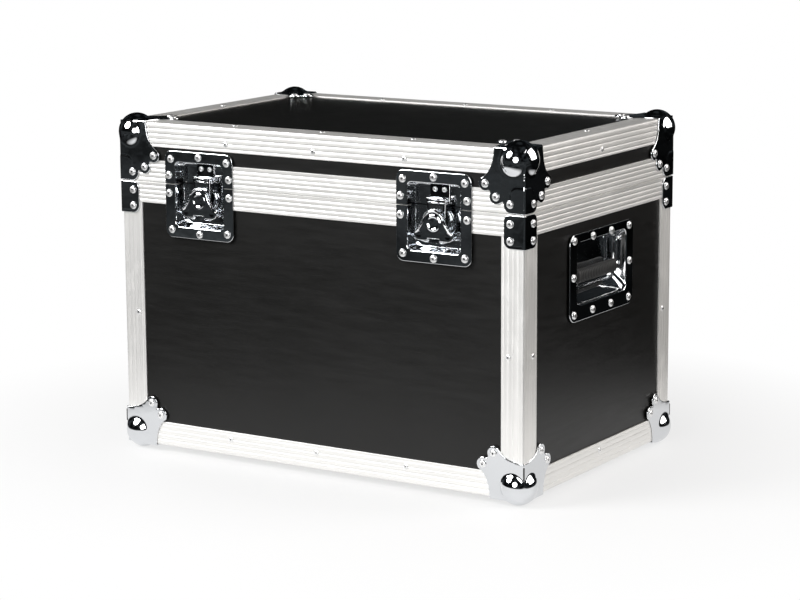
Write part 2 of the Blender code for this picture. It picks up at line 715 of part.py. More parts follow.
def build_handles():
    for side, sign in SIDES:
        handle_dish(f"handle_{side}_dish", sign)
        handle_bail(f"handle_{side}_bail", sign)
        handle_grip(f"handle_{side}_grip", sign)
        cut(bpy.data.objects[f"base_{side}_panel"], handle_opening(sign))


# Rear hinge ------------------------------------------------------------------------------
HINGE_STAND = 0.0043     # hinge axis, behind the back face
HINGE_HALF = 0.2100      # half the hinge's length
KNUCKLES = 7             # the base leaf has the odd ones, counted from one end
KNUCKLE_RADIUS = 0.0038
KNUCKLE_GAP = 0.0004     # at each end of a hinge knuckle
HINGE_PIN = 0.0020
PIN_CLEARANCE = 0.0004
LEAF_REACH = 0.040       # leaf's far edge from the parting line
LEAF_NEAR = 0.0007
LEAF_RELIEF = 0.0047     # leaf kept this far from the other leaf's knuckles


def knuckle_spans(is_lid):
    """Start and end of each knuckle of a leaf, along the hinge."""
    pitch = 2 * HINGE_HALF / KNUCKLES
    first = 1 if is_lid else 0
    spans = []
    for i in range(first, KNUCKLES, 2):
        start = -HINGE_HALF + i * pitch
        spans.append((start + KNUCKLE_GAP, start + pitch - KNUCKLE_GAP))
    return spans


def hinge_plate(name, start, end, near, far):
    """A flat stretch of a leaf between two heights above the bottom bars."""
    low, high = sorted((near, far))
    return box(name, (start, HALF_D + GAP, up(low)), (end, HALF_D + GAP + PLATE, up(high)), STEEL)


def hinge_round(name, radius, start, end):
    """A knuckle, pin or bore along the hinge's axis."""
    axis_y, axis_z = HALF_D + HINGE_STAND, up(PARTING)
    return cylinder(name, radius, (start, axis_y, axis_z), (end, axis_y, axis_z), STEEL, 12)


def build_hinge():
    """Two combed leaves; the base leaf carries the pin and the lid leaf's knuckles are bored."""
    for owner, is_lid in (("base", False), ("lid", True)):
        name = f"rear_hinge_{owner}_leaf"
        way = 1 if is_lid else -1
        near, relief, far = (PARTING + way * reach for reach in (LEAF_NEAR, LEAF_RELIEF, LEAF_REACH))
        leaf = hinge_plate(name, -HINGE_HALF, HINGE_HALF, relief, far)
        for start, end in knuckle_spans(is_lid):
            inset = KNUCKLE_GAP / 2
            tab = hinge_plate(name + "_tab", start + inset, end - inset, near, relief + way * PLATE)
            knuckle = hinge_round(name + "_knuckle", KNUCKLE_RADIUS, start, end)
            if is_lid:
                cut(knuckle, hinge_round(name + "_bore", HINGE_PIN + PIN_CLEARANCE, start - LEG, end + LEG))
            join(leaf, tab, knuckle)
        if not is_lid:
            join(leaf, hinge_round(name + "_pin", HINGE_PIN, -HINGE_HALF + PLATE, HINGE_HALF - PLATE))


# Foam ------------------------------------------------------------------------------------
FOAM_WALL = 0.010
FOAM_FLOOR = 0.015
FOAM_TOP = 0.308
LID_FOAM = 0.020


def build_foam():
    reach_x, reach_y = HALF_W - PANEL_IN - GAP, HALF_D - PANEL_IN - GAP
    floor = up(PANEL_IN + GAP)
    tray = box("base_foam", (-reach_x, -reach_y, floor), (reach_x, reach_y, up(FOAM_TOP)), SPONGE)
    hollow = box("base_foam_hollow", (-reach_x + FOAM_WALL, -reach_y + FOAM_WALL, floor + FOAM_FLOOR),
                 (reach_x - FOAM_WALL, reach_y - FOAM_WALL, up(FOAM_TOP + 0.01)), SPONGE)
    cut(tray, hollow)
    pocket = WELL_WALL + 2 * GAP
    for _, sign in SIDES:
        x = sign * LATCH_X
        cut(tray, box("latch_pocket", (x - WELL_HALF - pocket, -reach_y - 0.01, up(WELL_LOW - pocket)),
                      (x + WELL_HALF + pocket, front(WELL_DEPTH + pocket), up(FOAM_TOP + 0.01)), SPONGE))
        ends = sorted((sign * (reach_x + 0.01), sign * right(CUP_DEPTH + pocket)))
        cut(tray, box("handle_pocket", (ends[0], -CUP_HALF - pocket, up(CUP_LOW - pocket)),
                      (ends[1], CUP_HALF + pocket, up(CUP_HIGH + pocket)), SPONGE))
    ceiling = up(HEIGHT - PANEL_IN - GAP)
    lid_x, lid_y = reach_x - FOAM_WALL, reach_y - FOAM_WALL
    box("lid_foam", (-lid_x, -lid_y, ceiling - LID_FOAM), (lid_x, lid_y, ceiling), SPONGE, 0.012, 2, 3)


clear_scene()
PARTS = new_collection("road_case")
CUTTERS = new_collection("cutters")
SIDES = (("left", -1), ("right", 1))
BOARD = make_material("laminate", BLACK, 0.45, 0.0)
METAL = make_material("aluminium", ALUMINIUM, 0.35, 1.0)
STEEL = make_material("chrome", CHROME, 0.12, 1.0)
SPONGE = make_material("foam", FOAM, 0.95, 0.0)
RUBBER = make_material("rubber", GRIP, 0.6, 0.0)

build_panels()
build_bars()
build_closures()
build_corners()
build_braces()
build_latches()
build_handles()
build_hinge()
build_foam()
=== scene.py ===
"""Looks of the touring road case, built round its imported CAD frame.

The frame gives every place and size. This script swaps the plain bars, corners, dishes,
handles and soft parts for finely shaped ones, adds the rivets, gives each surface its
material, and lights the case in a plain studio. Units are metres. The axes are the
frame's: +X runs right along the front, -Y is the latch side and +Z is up.
"""
import math

import bmesh
import bpy
import numpy as np
from mathutils import Matrix, Vector, noise
from mathutils.geometry import delaunay_2d_cdt


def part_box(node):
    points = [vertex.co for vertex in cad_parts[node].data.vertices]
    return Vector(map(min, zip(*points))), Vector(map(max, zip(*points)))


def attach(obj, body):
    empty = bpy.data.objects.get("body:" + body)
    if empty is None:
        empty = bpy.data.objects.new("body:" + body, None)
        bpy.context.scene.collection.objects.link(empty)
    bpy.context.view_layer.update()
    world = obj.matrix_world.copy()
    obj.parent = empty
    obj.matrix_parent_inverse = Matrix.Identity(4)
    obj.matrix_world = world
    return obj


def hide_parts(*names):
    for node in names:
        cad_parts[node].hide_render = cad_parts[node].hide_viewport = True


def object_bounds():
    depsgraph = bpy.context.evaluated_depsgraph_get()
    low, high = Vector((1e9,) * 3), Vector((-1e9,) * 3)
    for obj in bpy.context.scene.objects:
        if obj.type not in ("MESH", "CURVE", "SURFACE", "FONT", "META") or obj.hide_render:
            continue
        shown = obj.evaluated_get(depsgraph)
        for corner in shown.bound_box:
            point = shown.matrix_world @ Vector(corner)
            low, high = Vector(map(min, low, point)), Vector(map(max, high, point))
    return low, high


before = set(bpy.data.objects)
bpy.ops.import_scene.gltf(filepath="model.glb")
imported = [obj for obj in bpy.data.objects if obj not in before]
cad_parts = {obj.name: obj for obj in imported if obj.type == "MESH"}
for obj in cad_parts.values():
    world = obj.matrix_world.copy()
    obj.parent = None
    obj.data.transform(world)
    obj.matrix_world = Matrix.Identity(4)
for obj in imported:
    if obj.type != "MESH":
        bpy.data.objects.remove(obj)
CAD_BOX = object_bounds()

# Places taken from the frame --------------------------------------------------------------
HALF_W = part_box("upright_front_right")[1].x
HALF_D = -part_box("upright_front_right")[0].y
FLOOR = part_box("bottom_bar_front")[0].z          # underside of the bars
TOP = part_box("top_bar_front")[1].z
GAP = 0.0003                                     # clearance between touching pieces
WELD = 2e-6                                      # points nearer than this are one
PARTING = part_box("closure_groove_frame")[1].z + GAP
LATCH_X = sum(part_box("latch_right_wing")[i].x for i in (0, 1)) / 2
LEG = 0.030                                      # leg of an angle bar
SKIN = 0.0018                                    # wall of the aluminium bars
PANEL_IN = 0.0091                                # depth of the panels' inner face
PLATE_TOP = 0.0018                               # pressed plates stand this proud of the bars
SIDES = (("left", -1), ("right", 1))
ENDS = (("front", -1), ("back", 1))
CORNERS = [(f"{end}_{side}", sx, sy) for side, sx in SIDES for end, sy in ENDS]
LEVELS = (("bottom", FLOOR, 1, "base"), ("top", TOP, -1, "lid"))    # name, height, way in, body


def up(height):
    """World height of a height above the bars' underside."""
    return FLOOR + height


# Pieces -----------------------------------------------------------------------------------
def linked(name, data):
    """A new object in the scene."""
    made = bpy.data.objects.new(name, data)
    bpy.context.scene.collection.objects.link(made)
    return made


def mesh_of(name, bm):
    """A mesh with a bmesh's shape; the bmesh is used up."""
    mesh = bpy.data.meshes.new(name)
    bm.to_mesh(mesh)
    bm.free()
    return mesh


def piece(name, bm, finish, body, sharp=50):
    """Makes a shown object of a bmesh in the frame's own coordinates."""
    materials, slot = finish
    mesh = mesh_of(name, bm)
    for material in materials:
        mesh.materials.append(material)
    mesh.shade_smooth()
    mesh.set_sharp_from_angle(angle=math.radians(sharp))
    made = linked(name, mesh)
    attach(made, body)
    return made


def reshape(node, bm, finish, body, sharp=50):
    """Makes a shown object that stands in for a CAD node."""
    made = piece(f"{node}_finish", bm, finish, body, sharp)
    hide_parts(node)
    return made


def apply_modifiers(made):
    """Gives an object the mesh that its modifiers make, and drops them."""
    bpy.context.view_layer.update()
    graph = bpy.context.evaluated_depsgraph_get()
    mesh = bpy.data.meshes.new_from_object(made.evaluated_get(graph))
    made.modifiers.clear()
    made.data = mesh


def arc(centre, radius, start, end, count):
    """Points on an arc, angles in degrees, count segments."""
    points = []
    for i in range(count + 1):
        angle = math.radians(start + (end - start) * i / count)
        points.append((centre[0] + radius * math.cos(angle), centre[1] + radius * math.sin(angle)))
    return points


def circle(count):
    """(cosine, sine) pairs evenly round a circle."""
    angles = [2 * math.pi * k / count for k in range(count)]
    return [(math.cos(angle), math.sin(angle)) for angle in angles]


def bend(start, control, end, count):
    """Points on a quadratic curve between two points, without its ends."""
    points = []
    for i in range(1, count):
        t = i / count
        points.append(tuple((1 - t) ** 2 * a + 2 * t * (1 - t) * b + t * t * c
                            for a, b, c in zip(start, control, end)))
    return points


def mirrored(half):
    """A half outline and its mirror image, as one outline."""
    return half + [(-u, v) for u, v in half[::-1]]


def bridge(bm, near, far, closed=True):
    """Faces between two rows of vertices."""
    count = len(near)
    for i in range(count if closed else count - 1):
        j = (i + 1) % count
        bm.faces.new((near[i], near[j], far[j], far[i]))


def loft(bm, rings, caps=True):
    """Skins closed rings of points, each with the same count, one to the next."""
    rows = [[bm.verts.new(p) for p in ring] for ring in rings]
    for near, far in zip(rows, rows[1:]):
        bridge(bm, near, far)
    if caps:
        bm.faces.new(rows[0][::-1])
        bm.faces.new(rows[-1])
    return rows


def lathe(bm, place, axis, profile, count):
    """Turns a profile of (radius, rise) points about an axis through a place."""
    turn = axis.to_track_quat("Z", "Y").to_matrix()
    loft(bm, [[place + turn @ Vector((radius * c, radius * s, rise)) for c, s in circle(count)]
              for radius, rise in profile])


def tube(bm, start, end, radius, trim):
    """A round bar with chamfered ends."""
    start, end = Vector(start), Vector(end)
    length = (end - start).length
    profile = ((radius - trim, 0.0), (radius, trim), (radius, length - trim), (radius - trim, length))
    lathe(bm, start, (end - start).normalized(), profile, 24)


def facing(bm):
    """Turns a closed shape's faces outward."""
    bmesh.ops.recalc_face_normals(bm, faces=bm.faces)
    return bm


def lofted(rings):
    """A closed shape skinned over rings of points."""
    bm = bmesh.new()
    loft(bm, rings)
    return facing(bm)


def tubes(ends, radius, trim):
    """A shape of round bars with chamfered ends, one for each pair of ends."""
    bm = bmesh.new()
    for start, end in ends:
        tube(bm, start, end, radius, trim)
    return facing(bm)


# Materials --------------------------------------------------------------------------------
def add(tree, kind, inputs=None, **settings):
    """A shader node with its settings; each input is a plain value or a socket to link."""
    made = tree.nodes.new(kind)
    for key, value in settings.items():
        setattr(made, key, value)
    for key, value in (inputs or {}).items():
        if isinstance(value, bpy.types.NodeSocket):
            tree.links.new(value, made.inputs[key])
        else:
            made.inputs[key].default_value = value
    return made


def noise_field(tree, place, scale, detail=3.0, roughness=0.5):
    inputs = {"Vector": place, "Scale": scale, "Detail": detail, "Roughness": roughness}
    return add(tree, "ShaderNodeTexNoise", inputs).outputs["Fac"]


def spread(tree, source, low, high, start=0.3, end=0.7):
    """Maps a noise's range from start..end to low..high."""
    inputs = {"Value": source, "From Min": start, "From Max": end, "To Min": low, "To Max": high}
    return add(tree, "ShaderNodeMapRange", inputs).outputs["Result"]


def chosen(tree, share, first, second):
    """One shader at share 0 and another at 1."""
    return add(tree, "ShaderNodeMixShader", {0: share, 1: first, 2: second}).outputs[0]


def shine(tree, kind, colour, strength):
    """A shader that gives light."""
    return add(tree, kind, {"Color": (*colour, 1.0), "Strength": strength}).outputs[0]


class Look:
    """A material being made; its textures follow its object's own coordinates."""

    def __init__(self, name, colour, roughness, metallic, specular=0.5):
        self.material = bpy.data.materials.new(name)
        self.material.use_nodes = True
        self.tree = self.material.node_tree
        self.shader = self.tree.nodes["Principled BSDF"]
        self.shader.inputs["Base Color"].default_value = (*colour, 1.0)
        self.shader.inputs["Roughness"].default_value = roughness
        self.shader.inputs["Metallic"].default_value = metallic
        self.shader.inputs["Specular IOR Level"].default_value = specular
        self.place = add(self.tree, "ShaderNodeTexCoord").outputs["Object"]

    def scaled(self, kind, scale):
        """A node that reads the object's own coordinates at a scale."""
        return add(self.tree, kind, {"Scale": scale, "Vector": self.place})

    def noise(self, scale, detail=3.0, roughness=0.5, stretch=None):
        place = self.scaled("ShaderNodeMapping", stretch).outputs["Vector"] if stretch else self.place
        return noise_field(self.tree, place, scale, detail, roughness)

    def cells(self, scale):
        return self.scaled("ShaderNodeTexVoronoi", scale).outputs["Distance"]

    def spread(self, source, low=0.0, high=1.0, start=0.3, end=0.7):
        return spread(self.tree, source, low, high, start, end)

    def combine(self, operation, first, second):
        return add(self.tree, "ShaderNodeMath", {0: first, 1: second}, operation=operation).outputs[0]

    def rough(self, source):
        self.tree.links.new(source, self.shader.inputs["Roughness"])

    def tint(self, share, dark, light):
        """Colours the surface between two tones."""
        inputs = {"Factor": share, "A": (*dark, 1.0), "B": (*light, 1.0)}
        mix = add(self.tree, "ShaderNodeMix", inputs, data_type="RGBA")
        colour = next(socket for socket in mix.outputs if socket.type == "RGBA")
        self.tree.links.new(colour, self.shader.inputs["Base Color"])

    def bump(self, *layers):
        """Stacks bumps, given as (height, strength, distance)."""
        inputs = {}
        for height, strength, distance in layers:
            inputs |= {"Height": height, "Strength": strength, "Distance": distance}
            inputs["Normal"] = add(self.tree, "ShaderNodeBump", inputs).outputs["Normal"]
        self.tree.links.new(inputs["Normal"], self.shader.inputs["Normal"])


def laminate():
    """Black phenolic laminate: a fine pebbled satin skin with faint clouding and rub marks."""
    look = Look("laminate", (0.02, 0.02, 0.02), 0.4, 0.0, 0.45)
    cloud = look.noise(7.0, 5.0)
    speckle = look.noise(420.0, 2.0)
    shade = look.combine("ADD", look.combine("MULTIPLY", speckle, 0.35), cloud)
    share = look.spread(shade, start=0.45, end=0.9)
    look.tint(share, (0.0028, 0.0027, 0.0024), (0.0044, 0.0042, 0.0038))
    rubs = look.noise(3.0, 6.0, 0.7, (6.0, 6.0, 45.0))
    look.rough(look.spread(rubs, 0.33, 0.42))
    look.bump((look.cells(900.0), 0.10, 0.0002), (look.noise(1800.0, 2.0), 0.12, 0.0001))
    return look.material


def aluminium(name, streaks):
    """Mill finish extrusion: drawn streaks along one direction, soft handling marks."""
    look = Look(name, (0.88, 0.87, 0.85), 0.4, 0.76)
    drawn = look.noise(1.0, 4.0, 0.65, streaks)
    marks = look.noise(38.0, 5.0, 0.6)
    look.tint(look.spread(drawn), (0.83, 0.82, 0.80), (0.93, 0.92, 0.90))
    satin, scuffs = look.spread(drawn, 0.36, 0.48), look.spread(marks, 0.0, 0.07, 0.5, 0.75)
    look.rough(look.combine("ADD", satin, scuffs))
    look.bump((drawn, 0.10, 0.0002), (marks, 0.03, 0.0005))
    return look.material


def chrome():
    """Bright plated pressed steel: a near mirror with a slight ripple, smudges and hairlines."""
    look = Look("chrome_steel", (0.79, 0.805, 0.825), 0.07, 1.0)
    smudge = look.noise(60.0, 5.0, 0.6)
    hair = look.noise(1.0, 3.0, 0.7, (900.0, 900.0, 60.0))
    smudge, scratch = look.spread(smudge, 0.045, 0.11, 0.4, 0.7), look.spread(hair, 0.0, 0.05, 0.6, 0.8)
    look.rough(look.combine("ADD", smudge, scratch))
    look.bump((look.noise(95.0, 1.0), 0.10, 0.0006), (hair, 0.02, 0.0001))
    return look.material


def rivet_steel():
    """Nickel plated rivet heads, a little duller than the plates."""
    look = Look("rivet_steel", (0.90, 0.90, 0.90), 0.3, 0.85)
    worn = look.noise(420.0)
    look.rough(look.spread(worn, 0.24, 0.36))
    look.tint(look.spread(worn), (0.88, 0.88, 0.88), (0.96, 0.96, 0.96))
    look.bump((worn, 0.03, 0.0001))
    return look.material


def rivet_bore_shade():
    """Painted shade for the hollow bore in a rivet's head: near black, with a faint random tone."""
    look = Look("rivet_bore_shade", (0.02, 0.02, 0.02), 0.7, 0.2)
    look.tint(look.noise(2500.0, 2.0), (0.008, 0.008, 0.008), (0.05, 0.048, 0.045))
    return look.material


def sponge():
    """Charcoal open-cell foam."""
    look = Look("foam", (0.03, 0.03, 0.032), 1.0, 0.0, 0.15)
    cells = look.cells(650.0)
    look.tint(look.spread(cells, start=0.0), (0.012, 0.012, 0.013), (0.060, 0.060, 0.064))
    look.bump((cells, 0.6, 0.0012), (look.noise(1500.0), 0.3, 0.0004))
    return look.material


def rubber():
    """Matt moulded rubber with a fine spark-eroded grain."""
    look = Look("grip_rubber", (0.015, 0.015, 0.015), 0.6, 0.0)
    polish = look.noise(45.0)
    look.rough(look.spread(polish, 0.5, 0.68))
    look.tint(polish, (0.010, 0.010, 0.010), (0.022, 0.022, 0.022))
    look.bump((look.noise(1600.0), 0.35, 0.0002))
    return look.material


ACROSS, ALONG = 1400.0, 3.0      # how fine an extrusion's streaks are, per metre
LAMINATE = laminate()
DRAWN_X = [aluminium("aluminium_x", (ALONG, ACROSS, ACROSS))], "aluminium"
DRAWN_Y = [aluminium("aluminium_y", (ACROSS, ALONG, ACROSS))], "aluminium"
DRAWN_Z = [aluminium("aluminium_z", (ACROSS, ACROSS, ALONG))], "aluminium"
DRAWN_ROUND = [aluminium("aluminium_round", (4.0, 4.0, ACROSS))], "aluminium"
CHROME = [chrome()], "chrome_steel"
# Rivets carry plated steel and, in their bores, a near-black painted shade.
RIVET = [rivet_steel(), rivet_bore_shade()], "chrome_steel"
# The rivets' second material alone: near-black painted shade, for gaps that show only shade.
PAINTED_SHADE = RIVET[0][1:], "chrome_steel"
SPONGE = [sponge()], "foam"
RUBBER = [rubber()], "grip_rubber"


# Aluminium bars ---------------------------------------------------------------------------
FLUTE_HALF = 0.0013      # half the width of a flute
FLUTE_DEPTH = 0.00032
FLUTE_STEPS = 4
BAR_FLUTES = 4
BAR_SHARP = 24           # degrees from which a fluted bar's edges are crisp
BAR_ROUND = 0.0026       # outer corner of an angle bar
BAR_PITCH = 0.0064
FIRST_FLUTE = 0.0075     # from the bar's outer corner
TRIM = 0.0004            # small chamfer on the ends of a skin
BAR_END = 0.013
FIELD_EDGE = LEG + GAP


def flutes(centres):
    """(distance, depth) points along a face, for flutes at these centres."""
    points = []
    for centre in centres:
        for k in range(-FLUTE_STEPS, FLUTE_STEPS + 1):
            depth = FLUTE_DEPTH * (0.5 + 0.5 * math.cos(math.pi * k / FLUTE_STEPS))
            points.append((centre + FLUTE_HALF * k / FLUTE_STEPS, depth))
    return points


def angle_profile():
    """An angle bar's section, its outer corner at the origin, as (first leg, second leg)."""
    face = flutes([FIRST_FLUTE + BAR_PITCH * i for i in range(BAR_FLUTES)])
    first = [(LEG, SKIN), (LEG, TRIM), (LEG - TRIM, 0.0)] + face[::-1]
    corner = arc((BAR_ROUND, BAR_ROUND), BAR_ROUND, 270, 180, 6)
    second = [(depth, t) for t, depth in face] + [(0.0, LEG - TRIM), (TRIM, LEG), (SKIN, LEG)]
    return first + corner + second + [(SKIN, SKIN)]


def straight_bar(node, place, start, end, finish, body):
    """Sweeps the angle section; place(u, v, along) gives a point."""
    section = angle_profile()
    rings = [[place(u, v, along) for u, v in section] for along in (start, end)]
    reshape(node, lofted(rings), finish, body, BAR_SHARP)


def build_bars():
    run_x, run_y = HALF_W - BAR_END, HALF_D - FIELD_EDGE
    for level, base, rise, body in LEVELS:
        for end, s in ENDS:
            straight_bar(f"{level}_bar_{end}", lambda u, v, x: (x, s * (HALF_D - u), base + rise * v),
                         -run_x, run_x, DRAWN_X, body)
        for side, s in SIDES:
            straight_bar(f"{level}_bar_{side}", lambda u, v, y: (s * (HALF_W - u), y, base + rise * v),
                         -run_y, run_y, DRAWN_Y, body)
    for corner, sx, sy in CORNERS:
        node = f"upright_{corner}"
        low, high = (end.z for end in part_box(node))
        straight_bar(node, lambda u, v, z: (sx * (HALF_W - u), sy * (HALF_D - v), z), low, high,
                     DRAWN_Z, "base")


# Closure ----------------------------------------------------------------------------------
CLOSURE_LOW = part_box("closure_groove_frame")[0].z
CLOSURE_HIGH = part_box("closure_tongue_frame")[1].z
CLOSURE_PITCH = 0.0056
CLOSURE_CAP = 0.0040
CLOSURE_LIP = 0.0120
TONGUE_DEPTH = 0.0056
HALF_TONGUE = {1: 0.0006, -1: 0.0013}      # by way: 1 for the lid's tongue, -1 for the groove
TONGUE_REACH = {1: 0.0016, -1: 0.0022}


def closure_profile(way, edge):
    """Half of the closure as (depth, height): fluted skin, cap, inner lip and tongue or groove."""
    face = PARTING + way * GAP
    cap, lip = PARTING + way * CLOSURE_CAP, PANEL_IN + GAP
    inner, far = lip + SKIN, PARTING + way * (CLOSURE_CAP + CLOSURE_LIP)
    half, reach = HALF_TONGUE[way], face - TONGUE_REACH[way]
    body = [(TRIM, edge), (SKIN, edge), (SKIN, cap), (lip, cap), (lip, far), (inner, far), (inner, face),
            (TONGUE_DEPTH + half, face), (TONGUE_DEPTH + half, reach), (TONGUE_DEPTH - half, reach),
            (TONGUE_DEPTH - half, face), (TRIM, face)]
    count = int((abs(edge - face) - 2 * FLUTE_HALF) / CLOSURE_PITCH)
    margin = (abs(edge - face) - (count - 1) * CLOSURE_PITCH) / 2
    centres = [margin + CLOSURE_PITCH * i for i in range(count)]
    skin = [(depth, face + way * t) for t, depth in flutes(centres)]
    return body + [(0.0, face + way * TRIM)] + skin + [(0.0, edge - way * TRIM)]


def build_closures():
    """Each closure bar runs round the case from latch to latch, with a short bar between."""
    for kind, way, edge, body in (("groove", -1, CLOSURE_LOW, "base"), ("tongue", 1, CLOSURE_HIGH, "lid")):
        section = closure_profile(way, edge)
        left, right = (end.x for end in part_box(f"closure_{kind}_middle"))
        clear = 2 * LATCH_X - right
        before, near, far, after = ([(x, depth - HALF_D, z) for depth, z in section]
                                    for x in (-clear, left, right, clear))
        turns = [[(sx * (HALF_W - depth), sy * (HALF_D - depth), z) for depth, z in section]
                 for sx, sy in ((-1, -1), (-1, 1), (1, 1), (1, -1))]
        for name, rings in (("frame", [before] + turns + [after]), ("middle", [near, far])):
            reshape(f"closure_{kind}_{name}", lofted(rings), DRAWN_ROUND, body, BAR_SHARP)


# Pressed plates wrapped round the case's edges ------------------------------------------------
BALL_RADIUS = 0.0225
BALL_INSET = 0.014       # ball centre, measured in from each outer face
EDGE_ROUND = 0.0022      # outer edge of a wrapped plate
BALL_BLEND = 0.0020      # softness between the ball and its plates
BALL_REACH = 0.0245      # inner points may crowd a folded edge only this near the ball's centre
BALL_END = 0.027         # rows of points follow the folded edges from here on
TIP_SUM = 0.012          # the plates stop at x + y + z = this, under the ball
RIM = 0.0009             # rounding of a plate's cut edge
LUG = 0.0085             # radius of a riveting lug
LUG_START, LUG_END = -40, 115      # the part of its circle that a first lug shows, in degrees
LEG_REACH = 0.026        # how far a leg or brace wraps round the upright
LEG_ROUND = 0.009
EMBOSS = 0.0004          # the raised panel of a lid corner's leg
EMBOSS_HALF = 0.0185
EMBOSS_TOP = 0.0425      # from the case's top
EMBOSS_ROUND = 0.010
EMBOSS_SOFT = 0.0024
LID_DROP = TOP - PARTING - 2 * GAP
SEARCH_OUT = -0.020      # how far outside and inside the corner a surface is searched for
SEARCH_IN = 0.006
SEARCH_STEPS = 34
RIM_GRID = 0.00004       # rim points are rounded to this, so that none is there twice
RIM_STEPS = (0.1, 0.3, 0.62, 1.0)      # rows of points across a rounded rim
FOLD_ROWS = (-0.00105, -0.0006, -0.0001, 0.0004, 0.0012)      # and across a folded edge
TURN_POINTS = 3          # rim points that one turn from side to side can take
FOLD_CLEAR = 0.00012     # inner points keep this far from a folded edge
PLATE_STEP = 0.0045      # between the points on a corner's plates
EMBOSS_STEP = 0.0012     # and on the raised panel of its legs
HAIR = 0.0006            # outline points nearer to a folded edge than this are left out


def rounded_corner(q, radius):
    """Signed distance to a rounded corner, from distances outside its inner faces."""
    outside = np.linalg.norm(np.maximum(q, 0.0), axis=1)
    return outside + np.minimum(q.max(axis=1), 0.0) - radius


def melt(a, b, width):
    """Smooth union of two signed distances."""
    share = np.clip(0.5 + 0.5 * (b - a) / width, 0.0, 1.0)
    return b + (a - b) * share - width * share * (1 - share)


def ball_field(points):
    """A ball corner: three plates and a ball, the case's corner at the origin."""
    ball = np.linalg.norm(points - BALL_INSET, axis=1) - BALL_RADIUS
    plates = rounded_corner(EDGE_ROUND - PLATE_TOP - points, EDGE_ROUND)
    plates = np.maximum(plates, (TIP_SUM - points.sum(axis=1)) / math.sqrt(3))
    return melt(plates, ball, BALL_BLEND)


def legged_field(points):
    """A lid's ball corner, whose legs carry a raised, arched panel."""
    along = np.maximum(points[:, 0], points[:, 1])
    q = np.stack((along - EMBOSS_HALF + EMBOSS_ROUND, EMBOSS_TOP + EMBOSS_ROUND - points[:, 2]), axis=1)
    raised = np.clip(-rounded_corner(q, EMBOSS_ROUND) / EMBOSS_SOFT, 0.0, 1.0)
    return ball_field(points) - EMBOSS * raised * raised * (3 - 2 * raised)


def brace_field(points):
    """A plate folded round an upright's outer edge."""
    return rounded_corner(EDGE_ROUND - PLATE_TOP - points[:, :2], EDGE_ROUND)


def entry(field, points, direction):
    """How far along a direction each point enters a field."""
    near, far = np.full(len(points), SEARCH_OUT), np.full(len(points), SEARCH_IN)
    direction = np.array(direction, float)
    for _ in range(SEARCH_STEPS):
        middle = (near + far) / 2
        inside = field(points + middle[:, None] * direction) < 0
        far = np.where(inside, middle, far)
        near = np.where(inside, near, middle)
    return far


def edge_line(field, axis, stops):
    """Points on a wrapped plate's folded edge, which runs along an axis."""
    direction = np.ones(3)
    direction[axis] = 0.0
    points = np.zeros((len(stops), 3))
    points[:, axis] = stops
    return points + entry(field, points, direction)[:, None] * direction


def stops_between(start, end, step, both_rims=False):
    """Places along an edge, closer together at its rounded end, or at both."""
    near = start + RIM * 1.3 if both_rims else start
    far = end - RIM * 1.3
    count = max(2, round((far - near) / step))
    fine = [RIM * share for share in (0.62, 0.3, 0.1, 0.0)]
    stops = [near + (far - near) * i / count for i in range(count + 1)] + [end - f for f in fine]
    if both_rims:
        stops = [start + f for f in fine[::-1]] + stops
    return stops


def distance_to(points, line):
    """Distance from each flat point to an open line of points."""
    points, line = np.array(points), np.array(line)
    a, b = line[:-1], line[1:]
    along = b - a
    best = np.full(len(points), 1e9)
    for i in range(len(a)):
        length = along[i] @ along[i]
        share = np.clip(((points - a[i]) @ along[i]) / max(length, 1e-18), 0.0, 1.0)
        best = np.minimum(best, np.linalg.norm(points - a[i] - share[:, None] * along[i], axis=1))
    return best


def within(points, loop):
    """True for each flat point inside a closed loop."""
    points, loop = np.array(points), np.array(loop)
    inside = np.zeros(len(points), bool)
    for (x1, y1), (x2, y2) in zip(loop, np.roll(loop, -1, axis=0)):
        crosses = (y1 > points[:, 1]) != (y2 > points[:, 1])
        if y1 != y2:
            inside ^= crosses & (points[:, 0] < (x2 - x1) * (points[:, 1] - y1) / (y2 - y1) + x1)
    return inside


def rim_points(line):
    """Points just inside an outline, where its rounded rim needs them."""
    line = np.array(line)
    kept = []
    for start, end in zip(line, line[1:]):
        length = math.dist(start, end)
        normal = np.array((start[1] - end[1], end[0] - start[0])) / max(length, 1e-12)
        shares = np.linspace(0.0, 1.0, max(1, round(length / 0.0007)) + 1)[:, None]
        stops = start + (end - start) * shares
        for part in RIM_STEPS:
            kept += [stops + normal * way * RIM * part for way in (-1, 1)]
    kept = np.concatenate(kept)
    clear = distance_to(kept, line)
    steps = np.array(RIM_STEPS) * RIM
    close = np.abs(clear[:, None] - steps).min(axis=1) < RIM * 0.02
    places = np.unique(np.round(kept[close] / RIM_GRID).astype(int), axis=0)
    return list(places * RIM_GRID)


def rim_drop(distance, radius=RIM):
    """How far a rounded rim falls below the plate, at a distance from its edge."""
    short = np.clip(radius - distance, 0.0, radius)
    return radius - np.sqrt(radius * radius - short * short)


def triangles(loop, inner):
    """A triangulation of a closed flat loop with inner points: (points, source index, faces)."""
    loop = [tuple(p) for p in loop]
    area = sum(a[0] * b[1] - b[0] * a[1] for a, b in zip(loop, loop[1:] + loop[:1]))
    order = list(range(len(loop)))
    if area < 0:
        order.reverse()
    points = [Vector(p) for p in loop] + [Vector(p) for p in inner]
    out, _, faces, source, _, _ = delaunay_2d_cdt(points, [], [order], 1, 1e-7)
    index = [min(s) if s else -1 for s in source]
    return np.array([tuple(p) for p in out]), index, faces


def sunk(place, drop, field):
    """A folded edge's point, moved in by its rim drop from the sides that meet there."""
    if field is brace_field:
        across = np.array([True, True, False])
    else:
        across = place < place.max() - 1e-9
    if np.ptp(place) < 1e-6:
        across = np.ones(3)
    return place + across * drop


